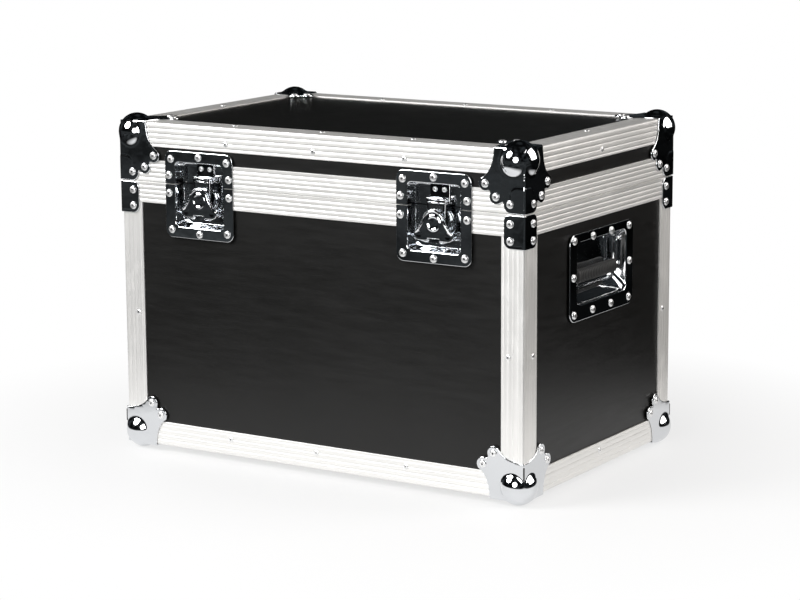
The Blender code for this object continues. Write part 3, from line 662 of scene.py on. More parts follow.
def wrapped_face(bm, field, axes, free, folded, inner):
    """One flat side of a wrapped plate; folded holds its points on the folded edges."""
    u, v, w = axes
    flat_folded = [(p[u], p[v]) for p in folded]
    line = [flat_folded[-1]] + free + [flat_folded[0]]
    loop = free + flat_folded
    inner = np.array(list(inner) + rim_points(line))
    inner = inner[within(inner, loop)]
    inner = inner[distance_to(inner, flat_folded) > FOLD_CLEAR]
    flat, source, faces = triangles(loop, inner)
    points = np.zeros((len(flat), 3))
    points[:, u], points[:, v] = flat[:, 0], flat[:, 1]
    direction = np.zeros(3)
    direction[w] = 1.0
    drop = rim_drop(distance_to(flat, line))
    points[:, w] = entry(field, points, direction) + drop
    for i, s in enumerate(source):
        if len(free) <= s < len(loop):
            points[i] = sunk(np.array(folded[s - len(free)], float), drop[i], field)
    verts = [bm.verts.new(p) for p in points]
    for face in faces:
        bm.faces.new([verts[i] for i in face])


def close_back(bm, flat_axes, with_tip):
    """Gives a wrapped skin its rim walls and flat backs, so that it is one closed solid.

    The rim is walked round once. Each of its points gets a twin on the flat back of the side
    that it lies on, and the twins between two turns from side to side bound one back face.
    """
    bmesh.ops.remove_doubles(bm, verts=bm.verts, dist=WELD)
    rim = [e for e in bm.edges if e.is_boundary]
    links = {}
    for e in rim:
        for vert in e.verts:
            links.setdefault(vert, []).append(e.other_vert(vert))
    start = rim[0].verts[0]
    loop, here, before = [start], links[start][0], start
    while here is not start:
        loop.append(here)
        here, before = next(o for o in links[here] if o is not before), here
    backs = []
    for vert in loop:
        place = Vector(vert.co)
        low = min(place[a] for a in flat_axes)
        for a in flat_axes:
            if place[a] < low + 1e-5 or place[a] < -GAP:
                place[a] = -GAP
        backs.append(bm.verts.new(place))
    bridge(bm, loop, backs)
    count = len(loop)
    turns = [i for i, b in enumerate(backs) if sum(b.co[a] <= -GAP + 1e-7 for a in flat_axes) > 1]
    groups = [turns[0]]
    for i in turns[1:]:
        if min(i - groups[-1], groups[0] + count - i) > TURN_POINTS:
            groups.append(i)
    tip = bm.verts.new((-GAP,) * 3) if with_tip else None
    for a, b in zip(groups, groups[1:] + [groups[0] + count]):
        chain = [backs[i % count] for i in range(a, b + 1)]
        if tip is not None:
            chain.append(tip)
        bm.faces.new(chain)
    bmesh.ops.remove_doubles(bm, verts=bm.verts, dist=WELD)
    bmesh.ops.delete(bm, geom=[v for v in bm.verts if not v.link_faces], context="VERTS")
    return facing(bm)


def flare(edge, lug):
    """A plate's side from the folded edge out to the start of its first lug."""
    end = arc(lug, LUG, LUG_START, LUG_END, 1)[0]
    side = bend((edge, -PLATE_TOP), (edge + 0.0005, lug[1] - 0.014), end, 14)
    return [p for p in side if p[1] > HAIR]


def notch(first, second):
    """The rounded notch between two lugs."""
    return [((first[0] + second[0]) / 2 + 0.0012, (first[1] + second[1]) / 2 + 0.0012)]


def plain_outline(lug, edge):
    """A corner plate that is the same along both of its edges, without its folded ends."""
    twin = (lug[1], lug[0])
    side = flare(edge, lug)
    return (side + arc(lug, LUG, LUG_START, LUG_END, 14) + notch(lug, twin) + arc(twin, LUG, -25, 130, 14)
            + [(b, a) for a, b in side[::-1]])


def legged_outline(first, second, edge, drop):
    """A lid corner's wall plate, with its leg running down to the parting line."""
    waist = [(LEG_REACH + 0.0012, second[1] + 0.0052)]
    waist += [(LEG_REACH, second[1] + down) for down in (0.0082, 0.0097)]
    foot = arc((LEG_REACH - LEG_ROUND, drop - LEG_ROUND), LEG_ROUND, 0, 90, 12)
    sole = [(LEG_REACH - LEG_ROUND - 0.0015 * i, drop) for i in range(1, 12)]
    return (flare(edge, first) + arc(first, LUG, LUG_START, LUG_END, 14) + notch(first, second)
            + arc(second, LUG, -25, 120, 14) + waist + foot + [p for p in sole if p[0] > HAIR])


def ball_rings():
    """Flat points round the ball's centre, close enough for an even mirror surface."""
    points = []
    for i in range(1, 27):
        radius = 0.00095 * i
        count = max(8, 6 * i if i < 9 else 56)
        for k in range(count):
            angle = 2 * math.pi * (k + 0.5 * (i % 2)) / count
            points.append((BALL_INSET + radius * math.cos(angle), BALL_INSET + radius * math.sin(angle)))
    return points + [(BALL_INSET, BALL_INSET)]


def grid(low, high, step):
    """Flat points in staggered rows between two corners."""
    points = []
    for i in range(int((high[0] - low[0]) / step) + 1):
        for k in range(int((high[1] - low[1]) / step) + 1):
            points.append((low[0] + step * (i + 0.5 * (k % 2)), low[1] + step * k))
    return points


def fold_rows(stops):
    """Flat points beside a folded edge, across its rounding: (along, across)."""
    return [(along, across) for across in FOLD_ROWS for along in stops]


def corner_mesh(field, edges, level, wall):
    """A ball corner with its outer corner at the origin and the case towards +X, +Y and +Z."""
    tip = entry(field, np.zeros((1, 3)), (1.0, 1.0, 1.0))[0]
    lines = [edge_line(field, axis, [tip] + stops_between(tip + 0.0008, length, 0.0011))
             for axis, length in enumerate(edges)]
    for line in lines:
        line[0] = tip
    bm = bmesh.new()
    for axes, free in (((0, 1, 2), level), ((0, 2, 1), wall), ((1, 2, 0), wall)):
        u, v, _ = axes
        folded = [tuple(p) for p in lines[v][::-1]] + [tuple(p) for p in lines[u][1:]]
        inner = ball_rings() + grid((-0.001, -0.001), (0.062, edges[v] + 0.02), PLATE_STEP)
        if field is legged_field and v == 2:
            inner += grid((0.0, EMBOSS_TOP - 0.004), (0.024, edges[2] - 0.002), EMBOSS_STEP)
        inner = [p for p in inner if min(p) > 0.0016 or math.dist(p, (BALL_INSET,) * 2) < BALL_REACH]
        rows_u, rows_v = (fold_rows([stop for stop in stops_between(0.0, edges[axis], 0.0014)
                                     if stop > BALL_END]) for axis in (u, v))
        wrapped_face(bm, field, axes, free, folded, inner + rows_u + [(b, a) for a, b in rows_v])
    return close_back(bm, (0, 1, 2), True)


def placed(bm, signs, origin):
    """A mirrored and moved copy of a template mesh."""
    copy = bm.copy()
    matrix = Matrix.Translation(origin) @ Matrix.Diagonal((*signs, 1.0))
    bmesh.ops.transform(copy, matrix=matrix, verts=copy.verts)
    if signs[0] * signs[1] * signs[2] < 0:
        bmesh.ops.reverse_faces(copy, faces=copy.faces)
    return copy


# The seam is drawn as a thin tube of painted shade.
SEAM = (0.0258, 0.0405)          # the open seam above a bottom ball, up the folded edge
SEAM_RADIUS = 0.0010
SEAM_INSET = -0.0010


def seam(name, origin, signs):
    """Painted shade in the open seam where a bottom plate's two walls meet above the ball: a thin near-black
    tube.
    """
    ends = [origin + Vector((SEAM_INSET, SEAM_INSET, z)) * signs for z in SEAM]
    piece(name, tubes([ends], SEAM_RADIUS, SEAM_RADIUS / 2), PAINTED_SHADE, "base")


def plate_spots(origin, signs, walls, level=()):
    """Rivets at (across, height) on both walls and at (x, y) on the level plate, if there is one."""
    spots = [((a, b, -PLATE_TOP), (0, 0, -1)) for a, b in level]
    for a, b in walls:
        spots += [((a, -PLATE_TOP, b), (0, -1, 0)), ((-PLATE_TOP, a, b), (-1, 0, 0))]
    return [(origin + Vector(place) * signs, Vector(normal) * signs) for place, normal in spots]


BOTTOM_LUG = (0.0525, 0.0385)
BOTTOM_EDGE = 0.044
LEVEL_LUG = (0.0505, 0.0385)
WALL_LUGS = ((0.0500, 0.0410), (0.0360, 0.0555))
LEG_RIVET = (0.0175, 0.0626)
TOP_EDGE = 0.039
BRACE_RIVETS = (0.0105, 0.0300)   # down from the brace's top


def build_corners():
    """The eight ball corners, mirrored from one for the base and one for the lid."""
    plate = plain_outline(BOTTOM_LUG, BOTTOM_EDGE)
    level = plain_outline(LEVEL_LUG, TOP_EDGE)
    wall = legged_outline(*WALL_LUGS, TOP_EDGE, LID_DROP)
    shapes = {"bottom": corner_mesh(ball_field, (BOTTOM_EDGE,) * 3, plate, plate),
              "top": corner_mesh(legged_field, (TOP_EDGE, TOP_EDGE, LID_DROP), level, wall)}
    bottom_lugs, level_lugs = ((lug, lug[::-1]) for lug in (BOTTOM_LUG, LEVEL_LUG))
    lugs = {"bottom": (bottom_lugs, bottom_lugs), "top": (WALL_LUGS + (LEG_RIVET,), level_lugs)}
    for corner, sx, sy in CORNERS:
        for name, base, rise, body in LEVELS:
            node = f"{name}_ball_corner_{corner}"
            origin, signs = Vector((sx * HALF_W, sy * HALF_D, base)), Vector((-sx, -sy, rise))
            reshape(node, placed(shapes[name], signs, origin), CHROME, body)
            if name == "bottom":
                seam(f"{node}_seam", origin, signs)
            rivets(f"{node}_rivets", plate_spots(origin, signs, *lugs[name]), body)


def brace_mesh(height):
    """A brace: its top at z 0, its folded edge at the origin, running down +Z."""
    stops = stops_between(0.0, height, 0.002, both_rims=True)
    folded = [tuple(p) for p in edge_line(brace_field, 2, stops)[::-1]]
    small, step = 0.0075, 0.0015
    steps = [step * i for i in range(1, 11)]
    free = [(HAIR + across, 0.0) for across in steps]
    free += arc((LEG_REACH - small, small), small, -90, 0, 12)
    free += [(LEG_REACH, small + (height - LEG_ROUND - small) * i / 12) for i in range(1, 12)]
    free += arc((LEG_REACH - LEG_ROUND, height - LEG_ROUND), LEG_ROUND, 0, 90, 12)
    free += [(LEG_REACH - LEG_ROUND - across, height) for across in steps]
    inner = grid((0.002, 0.002), (LEG_REACH - 0.002, height - 0.002), 0.004)
    inner += [(across, along) for along in stops for across in FOLD_ROWS]
    bm = bmesh.new()
    for axes in ((0, 2, 1), (1, 2, 0)):
        wrapped_face(bm, brace_field, axes, free, folded, inner)
    return close_back(bm, (0, 1), False)


def build_braces():
    """The braces on the uprights, just under the parting line."""
    low, high = (end.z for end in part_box("corner_brace_front_right"))
    template = brace_mesh(high - low)
    for corner, sx, sy in CORNERS:
        node = f"corner_brace_{corner}"
        origin, signs = Vector((sx * HALF_W, sy * HALF_D, high)), Vector((-sx, -sy, -1))
        reshape(node, placed(template, signs, origin), CHROME, "base")
        walls = [(LEG_RIVET[0], down) for down in BRACE_RIVETS]
        rivets(f"{node}_rivets", plate_spots(origin, signs, walls), "base")


# Rivets -----------------------------------------------------------------------------------
RIVET_RADIUS = 0.0047
RIVET_HEIGHT = 0.0021
RIVET_HOLE = 0.0011
RIVET_SIDES = 20
BAR_RIVET_RADIUS = 0.0034
BAR_RIVET_HEIGHT = 0.0012


def rivet_profile(radius, height):
    """(distance from the axis, height) from the bore's bottom out to the edge."""
    hole = RIVET_HOLE * radius / RIVET_RADIUS
    profile = [(hole * 0.55, height * 0.35), (hole, height * 0.45), (hole * 1.05, height * 0.93)]
    for i in range(7):
        angle = math.radians(78 - 13 * i)
        profile.append((hole * 1.25 + (radius - hole * 1.25) * math.cos(angle), height * math.sin(angle)))
    return profile + [(radius, -0.0002)]


def rivet(bm, place, normal, radius, height):
    """A domed head whose bore takes the second material, the bore's near-black painted shade."""
    first = len(bm.faces)
    lathe(bm, place, normal, rivet_profile(radius, height), RIVET_SIDES)
    bm.faces.ensure_lookup_table()
    # The bore's faces and its floor take the painted shade.
    for face in [*bm.faces[first:first + 2 * RIVET_SIDES], bm.faces[-2]]:
        face.material_index = 1


def rivets(name, spots, body, radius=RIVET_RADIUS, height=RIVET_HEIGHT):
    bm = bmesh.new()
    for place, normal in spots:
        rivet(bm, Vector(place), Vector(normal), radius, height)
    piece(name, facing(bm), RIVET, body)


def build_bar_rivets():
    """Small rivets through the bars, at thirds of the long sides and the middle of the short."""
    inset, third, waist = 0.0205, 0.126, up(0.166)
    size = BAR_RIVET_RADIUS, BAR_RIVET_HEIGHT
    for level, base, rise, body in LEVELS:
        spots = []
        for s in (-1, 1):
            for x in (-third, 0.0, third):
                spots.append(((x, s * HALF_D, base + rise * inset), (0, s, 0)))
                spots.append(((x, s * (HALF_D - inset), base), (0, 0, -rise)))
            spots.append(((s * HALF_W, 0.0, base + rise * inset), (s, 0, 0)))
            spots.append(((s * (HALF_W - inset), 0.0, base), (0, 0, -rise)))
        rivets(f"{level}_bar_rivets", spots, body, *size)
    spots = []
    for _, sx, sy in CORNERS:
        spots.append(((sx * (HALF_W - inset), sy * HALF_D, waist), (0, sy, 0)))
        spots.append(((sx * HALF_W, sy * (HALF_D - inset), waist), (sx, 0, 0)))
    rivets("upright_rivets", spots, "base", *size)


# Dishes -----------------------------------------------------------------------------------
DISH_PLATE = 0.0009


def rounded_ring(half, low, high, radius):
    """A rounded rectangle as (across, height), the same count whatever its size."""
    points = []
    for cu, cv, start in ((half - radius, high - radius, 0), (radius - half, high - radius, 90),
                          (radius - half, low + radius, 180), (half - radius, low + radius, 270)):
        points += arc((cu, cv), radius, start, start + 90, 9)
    return points


def pressed_dish(outer, opening, floor, depth, place):
    """A flange round a cup; each of the three outlines is (half, low, high, corner radius)."""
    def grown(shape, more):
        half, low, high, radius = shape
        return rounded_ring(half + more, low - more, high + more, max(radius + more, 0.0008))

    lip, root = 0.0015, 0.0022      # roundings at the cup's mouth and round its floor
    rim = ((0.0, 0.0013), (0.0, 0.0009), (0.00012, 0.0005), (0.0004, 0.0001), (0.0009, 0.0), (0.0013, 0.0))
    rings = [(grown(outer, -inset), drop - PLATE_TOP) for inset, drop in rim]
    rings.append((grown(opening, lip + 0.0005), -PLATE_TOP))
    for c, s in arc((0.0, 0.0), 1.0, 0, 90, 5):
        rings.append((grown(opening, lip * (1 - s)), lip * (1 - c) - PLATE_TOP))
    for share in (i / 6 for i in range(1, 6)):
        wall = [tuple(a + (b - a) * share for a, b in zip(p, q))
                for p, q in zip(rounded_ring(*opening), rounded_ring(*floor))]
        rings.append((wall, lip - PLATE_TOP + (depth - root - lip + PLATE_TOP) * share))
    for c, s in arc((0.0, 0.0), 1.0, 0, 90, 4):
        rings.append((grown(floor, -root * (1 - c)), depth - root * (1 - s)))
    bm = bmesh.new()
    rows = loft(bm, [[place(u, v, d) for u, v in ring] for ring, d in rings], caps=False)
    bm.faces.new(rows[-1])
    return bm


def turned_out(bm, outward):
    """Turns an open skin's faces so that its floor faces outward."""
    facing(bm)
    biggest = max(bm.faces, key=lambda f: f.calc_area())
    biggest.normal_update()
    if biggest.normal.dot(Vector(outward)) < 0:
        bmesh.ops.reverse_faces(bm, faces=bm.faces)
    return bm


def thickened(made, thickness):
    """Gives an open pressed skin its thickness, inwards, with crisp cut edges."""
    solid = made.modifiers.new("plate", "SOLIDIFY")
    solid.thickness = thickness
    solid.offset = -1.0
    solid.use_even_offset = True
    apply_modifiers(made)
    made.data.set_sharp_from_angle(angle=math.radians(50))


# Latches ----------------------------------------------------------------------------------
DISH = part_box("latch_right_base_dish")[0].z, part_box("latch_right_lid_dish")[1].z
# An outline is (half its width, low, high, corner radius).
WELL = (0.0354, up(0.2790), up(0.3576), 0.0060)
WELL_FLOOR = (0.0338, up(0.2808), up(0.3558), 0.0050)
WELL_DEPTH = 0.0143
DISH_HALF = 0.0505
DISH_ROUND = 0.010
BOSS_Z = up(0.3126)
WING_PIN = up(0.2915)
WING_FRONT = 0.0025      # proud of the front face
LATCH_RIVETS = {          # (across from the latch's middle, height)
    "lid": ((-0.0415, 0.361), (0.0, 0.365), (0.0415, 0.361), (-0.0446, 0.341), (0.0446, 0.341)),
    "base": ((-0.0446, 0.319), (0.0446, 0.319), (-0.0415, 0.2745), (0.0, 0.271), (0.0415, 0.2745)),
}
KEEPER_PLATE = 0.0012
HOOK_DEPTH = 0.0039
WING_PLATE = 0.0014
WING_STEP = 0.0008       # between the points of the pressed butterfly
KNUCKLE = (0.0082, 0.0150)       # across, from its inner to its outer end
KNUCKLE_DEPTH = 0.0009           # of its axis behind the front face
KNUCKLE_RADIUS = 0.0025
HOOK_RIBS = (0.3388, 0.3350)
HOOK_RIB_HALF = 0.0108


def cut_at(bm, height, keep_above):
    """Keeps the part of a shape above or below a height."""
    geometry = bm.verts[:] + bm.edges[:] + bm.faces[:]
    bmesh.ops.bisect_plane(bm, geom=geometry, plane_co=(0, 0, height), plane_no=(0, 0, 1),
                           clear_inner=keep_above, clear_outer=not keep_above)


def latch_dishes(side, x):
    """The latch's dish, pressed as one and cut at the parting line into base and lid halves."""
    outer = (DISH_HALF, DISH[0], DISH[1], DISH_ROUND)
    for body, height, above in (("base", PARTING - 2 * GAP, False), ("lid", PARTING + 2 * GAP, True)):
        bm = pressed_dish(outer, WELL, WELL_FLOOR, WELL_DEPTH, lambda u, v, d: (x + u, d - HALF_D, v))
        cut_at(turned_out(bm, (0, -1, 0)), height, above)
        thickened(reshape(f"latch_{side}_{body}_dish", bm, CHROME, body), DISH_PLATE)
    y = -HALF_D - PLATE_TOP
    for part, spots in LATCH_RIVETS.items():
        rivets(f"latch_{side}_{part}_rivets", [((x + u, y, up(z)), (0, -1, 0)) for u, z in spots], part)


def refined(node, body):
    """A pressed steel CAD node's shape again, with its edges rounded."""
    bm = bmesh.new()
    bm.from_mesh(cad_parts[node].data)
    bmesh.ops.remove_doubles(bm, verts=bm.verts, dist=1e-6)
    bmesh.ops.dissolve_limit(bm, angle_limit=math.radians(1), verts=bm.verts, edges=bm.edges)
    edges = [e for e in bm.edges if len(e.link_faces) == 2 and e.calc_face_angle() > math.radians(40)]
    bmesh.ops.bevel(bm, geom=edges, offset=GAP, segments=3, profile=0.5, affect="EDGES", clamp_overlap=True)
    reshape(node, bm, CHROME, body, 35)


def wing_outline():
    """The butterfly's outline, about the latch's middle."""
    pin = WING_PIN
    shape = [(0.0078, pin + 0.0027), (0.0078, pin + 0.0010), (0.0090, pin + 0.0001)]
    shape += [(0.0120, pin), (0.0155, pin)]
    shape += arc((0.0195, pin + 0.007), 0.007, -88, 24, 14)
    flank = bend((0.0259, pin + 0.0098), (0.0165, up(0.3095)), (0.0134, up(0.3195)), 8)
    return mirrored(shape + flank + arc((0.0, up(0.3140)), 0.0145, 22, 86, 10))


def wing_height(points, edge):
    """How proud the pressed butterfly stands: folded flanks, a dished boss and dimpled lobes."""
    u, v = points[:, 0], points[:, 1]
    reach = np.hypot(u, v - BOSS_Z)
    ring = np.exp(-((reach - 0.0082) / 0.0014) ** 2)
    dish = np.clip(1 - reach / 0.0075, 0, 1)
    lobe = np.hypot(np.abs(u) - 0.0192, v - WING_PIN - 0.0072)
    dimple = np.clip(1 - (lobe / 0.0042) ** 2, 0, 1)
    flank = np.exp(-((edge - 0.0018) / 0.0010) ** 2) * np.clip((v - WING_PIN - 0.006) / 0.004, 0, 1)
    return 0.0009 * ring - 0.0006 * dish - 0.0006 * dimple + 0.0010 * flank


def latch_wing(side, x):
    """The folding butterfly, pressed from plate, with its two knuckles."""
    outline = wing_outline()
    closed = outline + outline[:1]
    rim_row = rim_points(closed)
    inner = np.array(rim_row + grid((-0.027, WING_PIN), (0.027, up(0.3290)), WING_STEP))
    on_rim = np.arange(len(inner)) < len(rim_row)
    keep = within(inner, outline) & (on_rim | (distance_to(inner, closed) > RIM * 1.15))
    flat, _, faces = triangles(outline, inner[keep])
    edge = distance_to(flat, closed)
    rise = wing_height(flat, edge)
    front = -HALF_D - WING_FRONT - rise + rim_drop(edge)
    back = -HALF_D - WING_FRONT - rise + WING_PLATE
    bm = bmesh.new()
    fronts, backs = ([bm.verts.new((x + u, y, v)) for (u, v), y in zip(flat, skin)]
                     for skin in (front, back))
    for face in faces:
        bm.faces.new([fronts[i] for i in face])
        bm.faces.new([backs[i] for i in face[::-1]])
    rim = [e for e in bm.edges if e.is_boundary and e.verts[0] in set(fronts)]
    partner = dict(zip(fronts, backs))
    for e in rim:
        a, b = e.verts
        bm.faces.new((a, b, partner[b], partner[a]))
    for s in (-1, 1):
        start, end = ((x + s * across, KNUCKLE_DEPTH - HALF_D, WING_PIN) for across in KNUCKLE)
        tube(bm, start, end, KNUCKLE_RADIUS, GAP)
    reshape(f"latch_{side}_wing", facing(bm), CHROME, f"latch_{side}_wing")


def hook_ribs(side, x):
    """The two bright stiffening beads pressed across the top of the hook."""
    y = HOOK_DEPTH + GAP - HALF_D
    ends = [[(x + way * HOOK_RIB_HALF, y, up(z)) for way in (-1, 1)] for z in HOOK_RIBS]
    piece(f"latch_{side}_hook_ribs", tubes(ends, 0.0011, 0.0004), CHROME, f"latch_{side}_hook")


def build_latches():
    for side, s in SIDES:
        x = s * LATCH_X
        latch_dishes(side, x)
        latch_wing(side, x)
        hook_ribs(side, x)
        refined(f"latch_{side}_keeper", "lid")
        for part in ("hook", "turntable"):
            refined(f"latch_{side}_{part}", f"latch_{side}_{part}")
        y = -HALF_D + WELL_DEPTH - 2 * GAP - KEEPER_PLATE
        spots = [((x + u, y, up(0.3495)), (0, -1, 0)) for u in (-0.0063, 0.0063)]
        rivets(f"latch_{side}_keeper_rivets", spots, "lid", 0.0030, 0.0016)


# Handles ----------------------------------------------------------------------------------
# An outline is (half its width, low, high, corner radius).
HANDLE_OUTER = (0.0795, up(0.1880), up(0.2916), 0.012)
CUP = (0.0620, up(0.2070), up(0.2810), 0.0090)
CUP_FLOOR = (0.0585, up(0.2225), up(0.2792), 0.0080)
CUP_DEPTH = 0.0170
BAIL_Z = up(0.2710)
BAIL_DEPTH = 0.0085
BAIL_RADIUS = 0.0030
BAIL_HALF = 0.0560
BAIL_BEND = 0.006
GRIP_Z = up(0.2380)
GRIP_HALF = 0.048
GRIP_THICK = 0.0055
GRIP_TALL = 0.0080
GRIP_RIBS = 22
GRIP_PLAIN = 0.004       # without ribs, at each end


def handle_dish(side, s):
    """The handle's dish with its ten rivets."""
    bm = pressed_dish(HANDLE_OUTER, CUP, CUP_FLOOR, CUP_DEPTH, lambda u, v, d: (s * (HALF_W - d - GAP), u, v))
    thickened(reshape(f"handle_{side}_dish", turned_out(bm, (s, 0, 0)), CHROME, "base"), DISH_PLATE)
    x = s * (HALF_W + PLATE_TOP - GAP)
    spots = [(y, z) for z in (0.2843, 0.1968) for y in (-0.0690, -0.0230, 0.0230, 0.0690)]
    spots += [(-0.0705, 0.2410), (0.0705, 0.2410)]
    rivets(f"handle_{side}_rivets", [((x, y, up(z)), (s, 0, 0)) for y, z in spots], "base")


def bail_path():
    """Half the bail from the middle of the grip to the pivot, as (y, z)."""
    path = [(0.0, GRIP_Z)]
    path += arc((BAIL_HALF - BAIL_BEND, GRIP_Z + BAIL_BEND), BAIL_BEND, 270, 360, 10)
    path += arc((BAIL_HALF + 0.004, BAIL_Z - 0.004), 0.004, 180, 90, 8)
    return path + [(CUP[0] - 0.0008, BAIL_Z)]


def swept_tube(bm, path, radius, count=20):
    """A round wire along a smooth path of points."""
    path = [Vector(p) for p in path]
    rings = []
    normal = None
    for i, here in enumerate(path):
        ahead, behind = path[min(i + 1, len(path) - 1)], path[max(i - 1, 0)]
        along = (ahead - behind).normalized()
        if normal is None:
            normal = along.orthogonal().normalized()
        normal = (normal - along * normal.dot(along)).normalized()
        across = along.cross(normal)
        rings.append([here + normal * radius * c + across * radius * s for c, s in circle(count)])
    loft(bm, rings)


def handle_bail(side, s):
    x = s * (HALF_W - BAIL_DEPTH)
    half = bail_path()
    path = [(x, -y, z) for y, z in half[:0:-1]] + [(x, y, z) for y, z in half]
    bm = bmesh.new()
    swept_tube(bm, path, BAIL_RADIUS)
    reshape(f"handle_{side}_bail", facing(bm), CHROME, f"handle_{side}")


def grip_section(grow):
    """The grip's squared oval section, as (x, z)."""
    def squared(value):
        return math.copysign(abs(value) ** 0.75, value)
    return [((GRIP_THICK + grow) * squared(c), (GRIP_TALL + grow) * squared(s)) for c, s in circle(32)]


def handle_grip(side, s):
    """The rubber sleeve: rounded ends, a slight swell and fine moulded ribs."""
    x = s * (HALF_W - BAIL_DEPTH)
    stops = [(inset - GRIP_HALF, grow) for inset, grow in ((0.0, -0.0024), (0.0004, -0.0010),
                                                           (0.0014, -0.0002), (0.0030, 0.0))]
    ending = [(-y, grow) for y, grow in stops[::-1]]
    pitch = 2 * (GRIP_HALF - GRIP_PLAIN) / GRIP_RIBS
    for i in range(GRIP_RIBS):
        start = GRIP_PLAIN - GRIP_HALF + i * pitch
        for share, groove in ((0.1, 0.0), (0.3, 0.0), (0.42, 0.0005), (0.58, 0.0005), (0.7, 0.0)):
            stops.append((start + pitch * share, -groove))
    rings = [[(x + u, y, GRIP_Z + v) for u, v in grip_section(grow)] for y, grow in stops + ending]
    reshape(f"handle_{side}_grip", lofted(rings), RUBBER, f"handle_{side}", 40)


def handle_springs(side, s):
    """The return springs round the bail's pivots."""
    x, radius, wire = s * (HALF_W - BAIL_DEPTH), 0.0040, 0.0005
    turns, steps, length = 3, 20, 0.0036
    coil = circle(steps) * turns + circle(steps)[:1]
    bm = bmesh.new()
    for way in (-1, 1):
        starts = way * (BAIL_HALF + 0.0014)
        path = [(x + radius * c, starts + way * length * k / (turns * steps), BAIL_Z + radius * sine)
                for k, (c, sine) in enumerate(coil)]
        swept_tube(bm, path, wire, 8)
    piece(f"handle_{side}_springs", facing(bm), CHROME, "base")


def build_handles():
    for side, s in SIDES:
        handle_dish(side, s)
        handle_bail(side, s)
        handle_grip(side, s)
        handle_springs(side, s)


# Rear hinge -------------------------------------------------------------------------------
HINGE_RIVETS = (-0.195, -0.130, -0.065, 0.0, 0.065, 0.130, 0.195)
HINGE_RIVET_DROP = 0.0285        # from the parting line


def build_hinge():
    """The two leaves of the rear hinge, each with its row of rivets."""
    for owner, way in (("base", -1), ("lid", 1)):
        refined(f"rear_hinge_{owner}_leaf", owner)
        z = PARTING + way * HINGE_RIVET_DROP
        rivets(f"rear_hinge_{owner}_rivets", [((x, HALF_D + PLATE_TOP, z), (0, 1, 0)) for x in HINGE_RIVETS],
               owner)


# Foam -------------------------------------------------------------------------------------
TRAY_WALL = 0.010
TRAY_FLOOR = 0.015
TRAY_SOFT = 0.0035       # rounding of the tray's rim
TRAY_ROOT = 0.006        # and of its floor's edge
TRAY_ROWS = 10
SOFTENED = ((0.0, 1.0), (0.13, 0.5), (0.5, 0.13), (1.0, 0.0))      # a rounding's (inset, drop)


def soft_ring(half_x, half_y, z, radius):
    """A rounded rectangle with points along its sides too."""
    signs = (1, 1), (-1, 1), (-1, -1), (1, -1)
    centres = [(sx * (half_x - radius), sy * (half_y - radius)) for sx, sy in signs]
    points = []
    for index, centre in enumerate(centres):
        start = 90 * index
        points += arc(centre, radius, start, start + 90, 5)
        a, b = points[-1], arc(centres[(index + 1) % 4], radius, start + 90, start + 91, 1)[0]
        points += [tuple(p + (q - p) * k / 24 for p, q in zip(a, b)) for k in range(1, 24)]
    return [(x, y, z) for x, y in points]


def tray_rings(low, high):
    """(inset, height, corner radius) of the tray's rings, up its outside and down its inside."""
    foot, shoulder, bottom = low.z + 0.004, high.z - TRAY_SOFT, low.z + TRAY_FLOOR
    rings = [(0.004, low.z, 0.004), (0.0, foot, 0.002)]
    rings += [(0.0, foot + (shoulder - foot) * k / TRAY_ROWS, 0.002) for k in range(1, TRAY_ROWS + 1)]
    rings += [(TRAY_SOFT * inset, high.z - TRAY_SOFT * drop, 0.004) for inset, drop in SOFTENED[1:]]
    rings += [(TRAY_WALL - TRAY_SOFT * inset, high.z - TRAY_SOFT * drop, 0.008)
              for inset, drop in SOFTENED[::-1]]
    deep = shoulder - bottom - TRAY_ROOT
    rings += [(TRAY_WALL, shoulder - deep * k / TRAY_ROWS, 0.009) for k in range(1, TRAY_ROWS + 1)]
    rings += [(TRAY_WALL + 0.002, bottom + 0.002, 0.009), (TRAY_WALL + TRAY_ROOT, bottom, 0.010)]
    rings += [(TRAY_WALL + TRAY_ROOT + (high.y - TRAY_WALL - 0.02) * k / 12, bottom, 0.010)
              for k in range(1, 12)]
    return rings


def build_tray():
    """The base's foam lining: a tray with soft rounded edges and slightly uneven walls."""
    low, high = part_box("base_foam")
    bm = lofted([soft_ring(high.x - inset, high.y - inset, z, radius)
                 for inset, z, radius in tray_rings(low, high)])
    for vert in bm.verts:
        within_walls = abs(vert.co.x) < high.x - 0.004 and abs(vert.co.y) < high.y - 0.004
        if within_walls and vert.co.z > low.z + 0.01:
            vert.co += vert.normal * 0.0009 * noise.noise(vert.co * 38.0)
    tray = reshape("base_foam", bm, SPONGE, "base")
    for box_low, box_high in foam_pockets():
        cut_out(tray, box_low, box_high)
    bm = bmesh.new()
    bm.from_mesh(tray.data)
    bmesh.ops.remove_doubles(bm, verts=bm.verts, dist=1e-6)
    bmesh.ops.holes_fill(bm, edges=[e for e in bm.edges if e.is_boundary], sides=8)
    bm.to_mesh(tray.data)
    bm.free()


def cut_out(made, low, high):
    """Cuts a box between two corners out of an object."""
    bm = bmesh.new()
    box = Matrix.Translation((low + high) / 2) @ Matrix.Diagonal((*(high - low), 1.0))
    bmesh.ops.create_cube(bm, size=1.0, matrix=box)
    cutter = linked("pocket", mesh_of("pocket", bm))
    cut = made.modifiers.new("pocket", "BOOLEAN")
    cut.object, cut.operation, cut.solver = cutter, "DIFFERENCE", "EXACT"
    apply_modifiers(made)
    bpy.data.objects.remove(cutter)


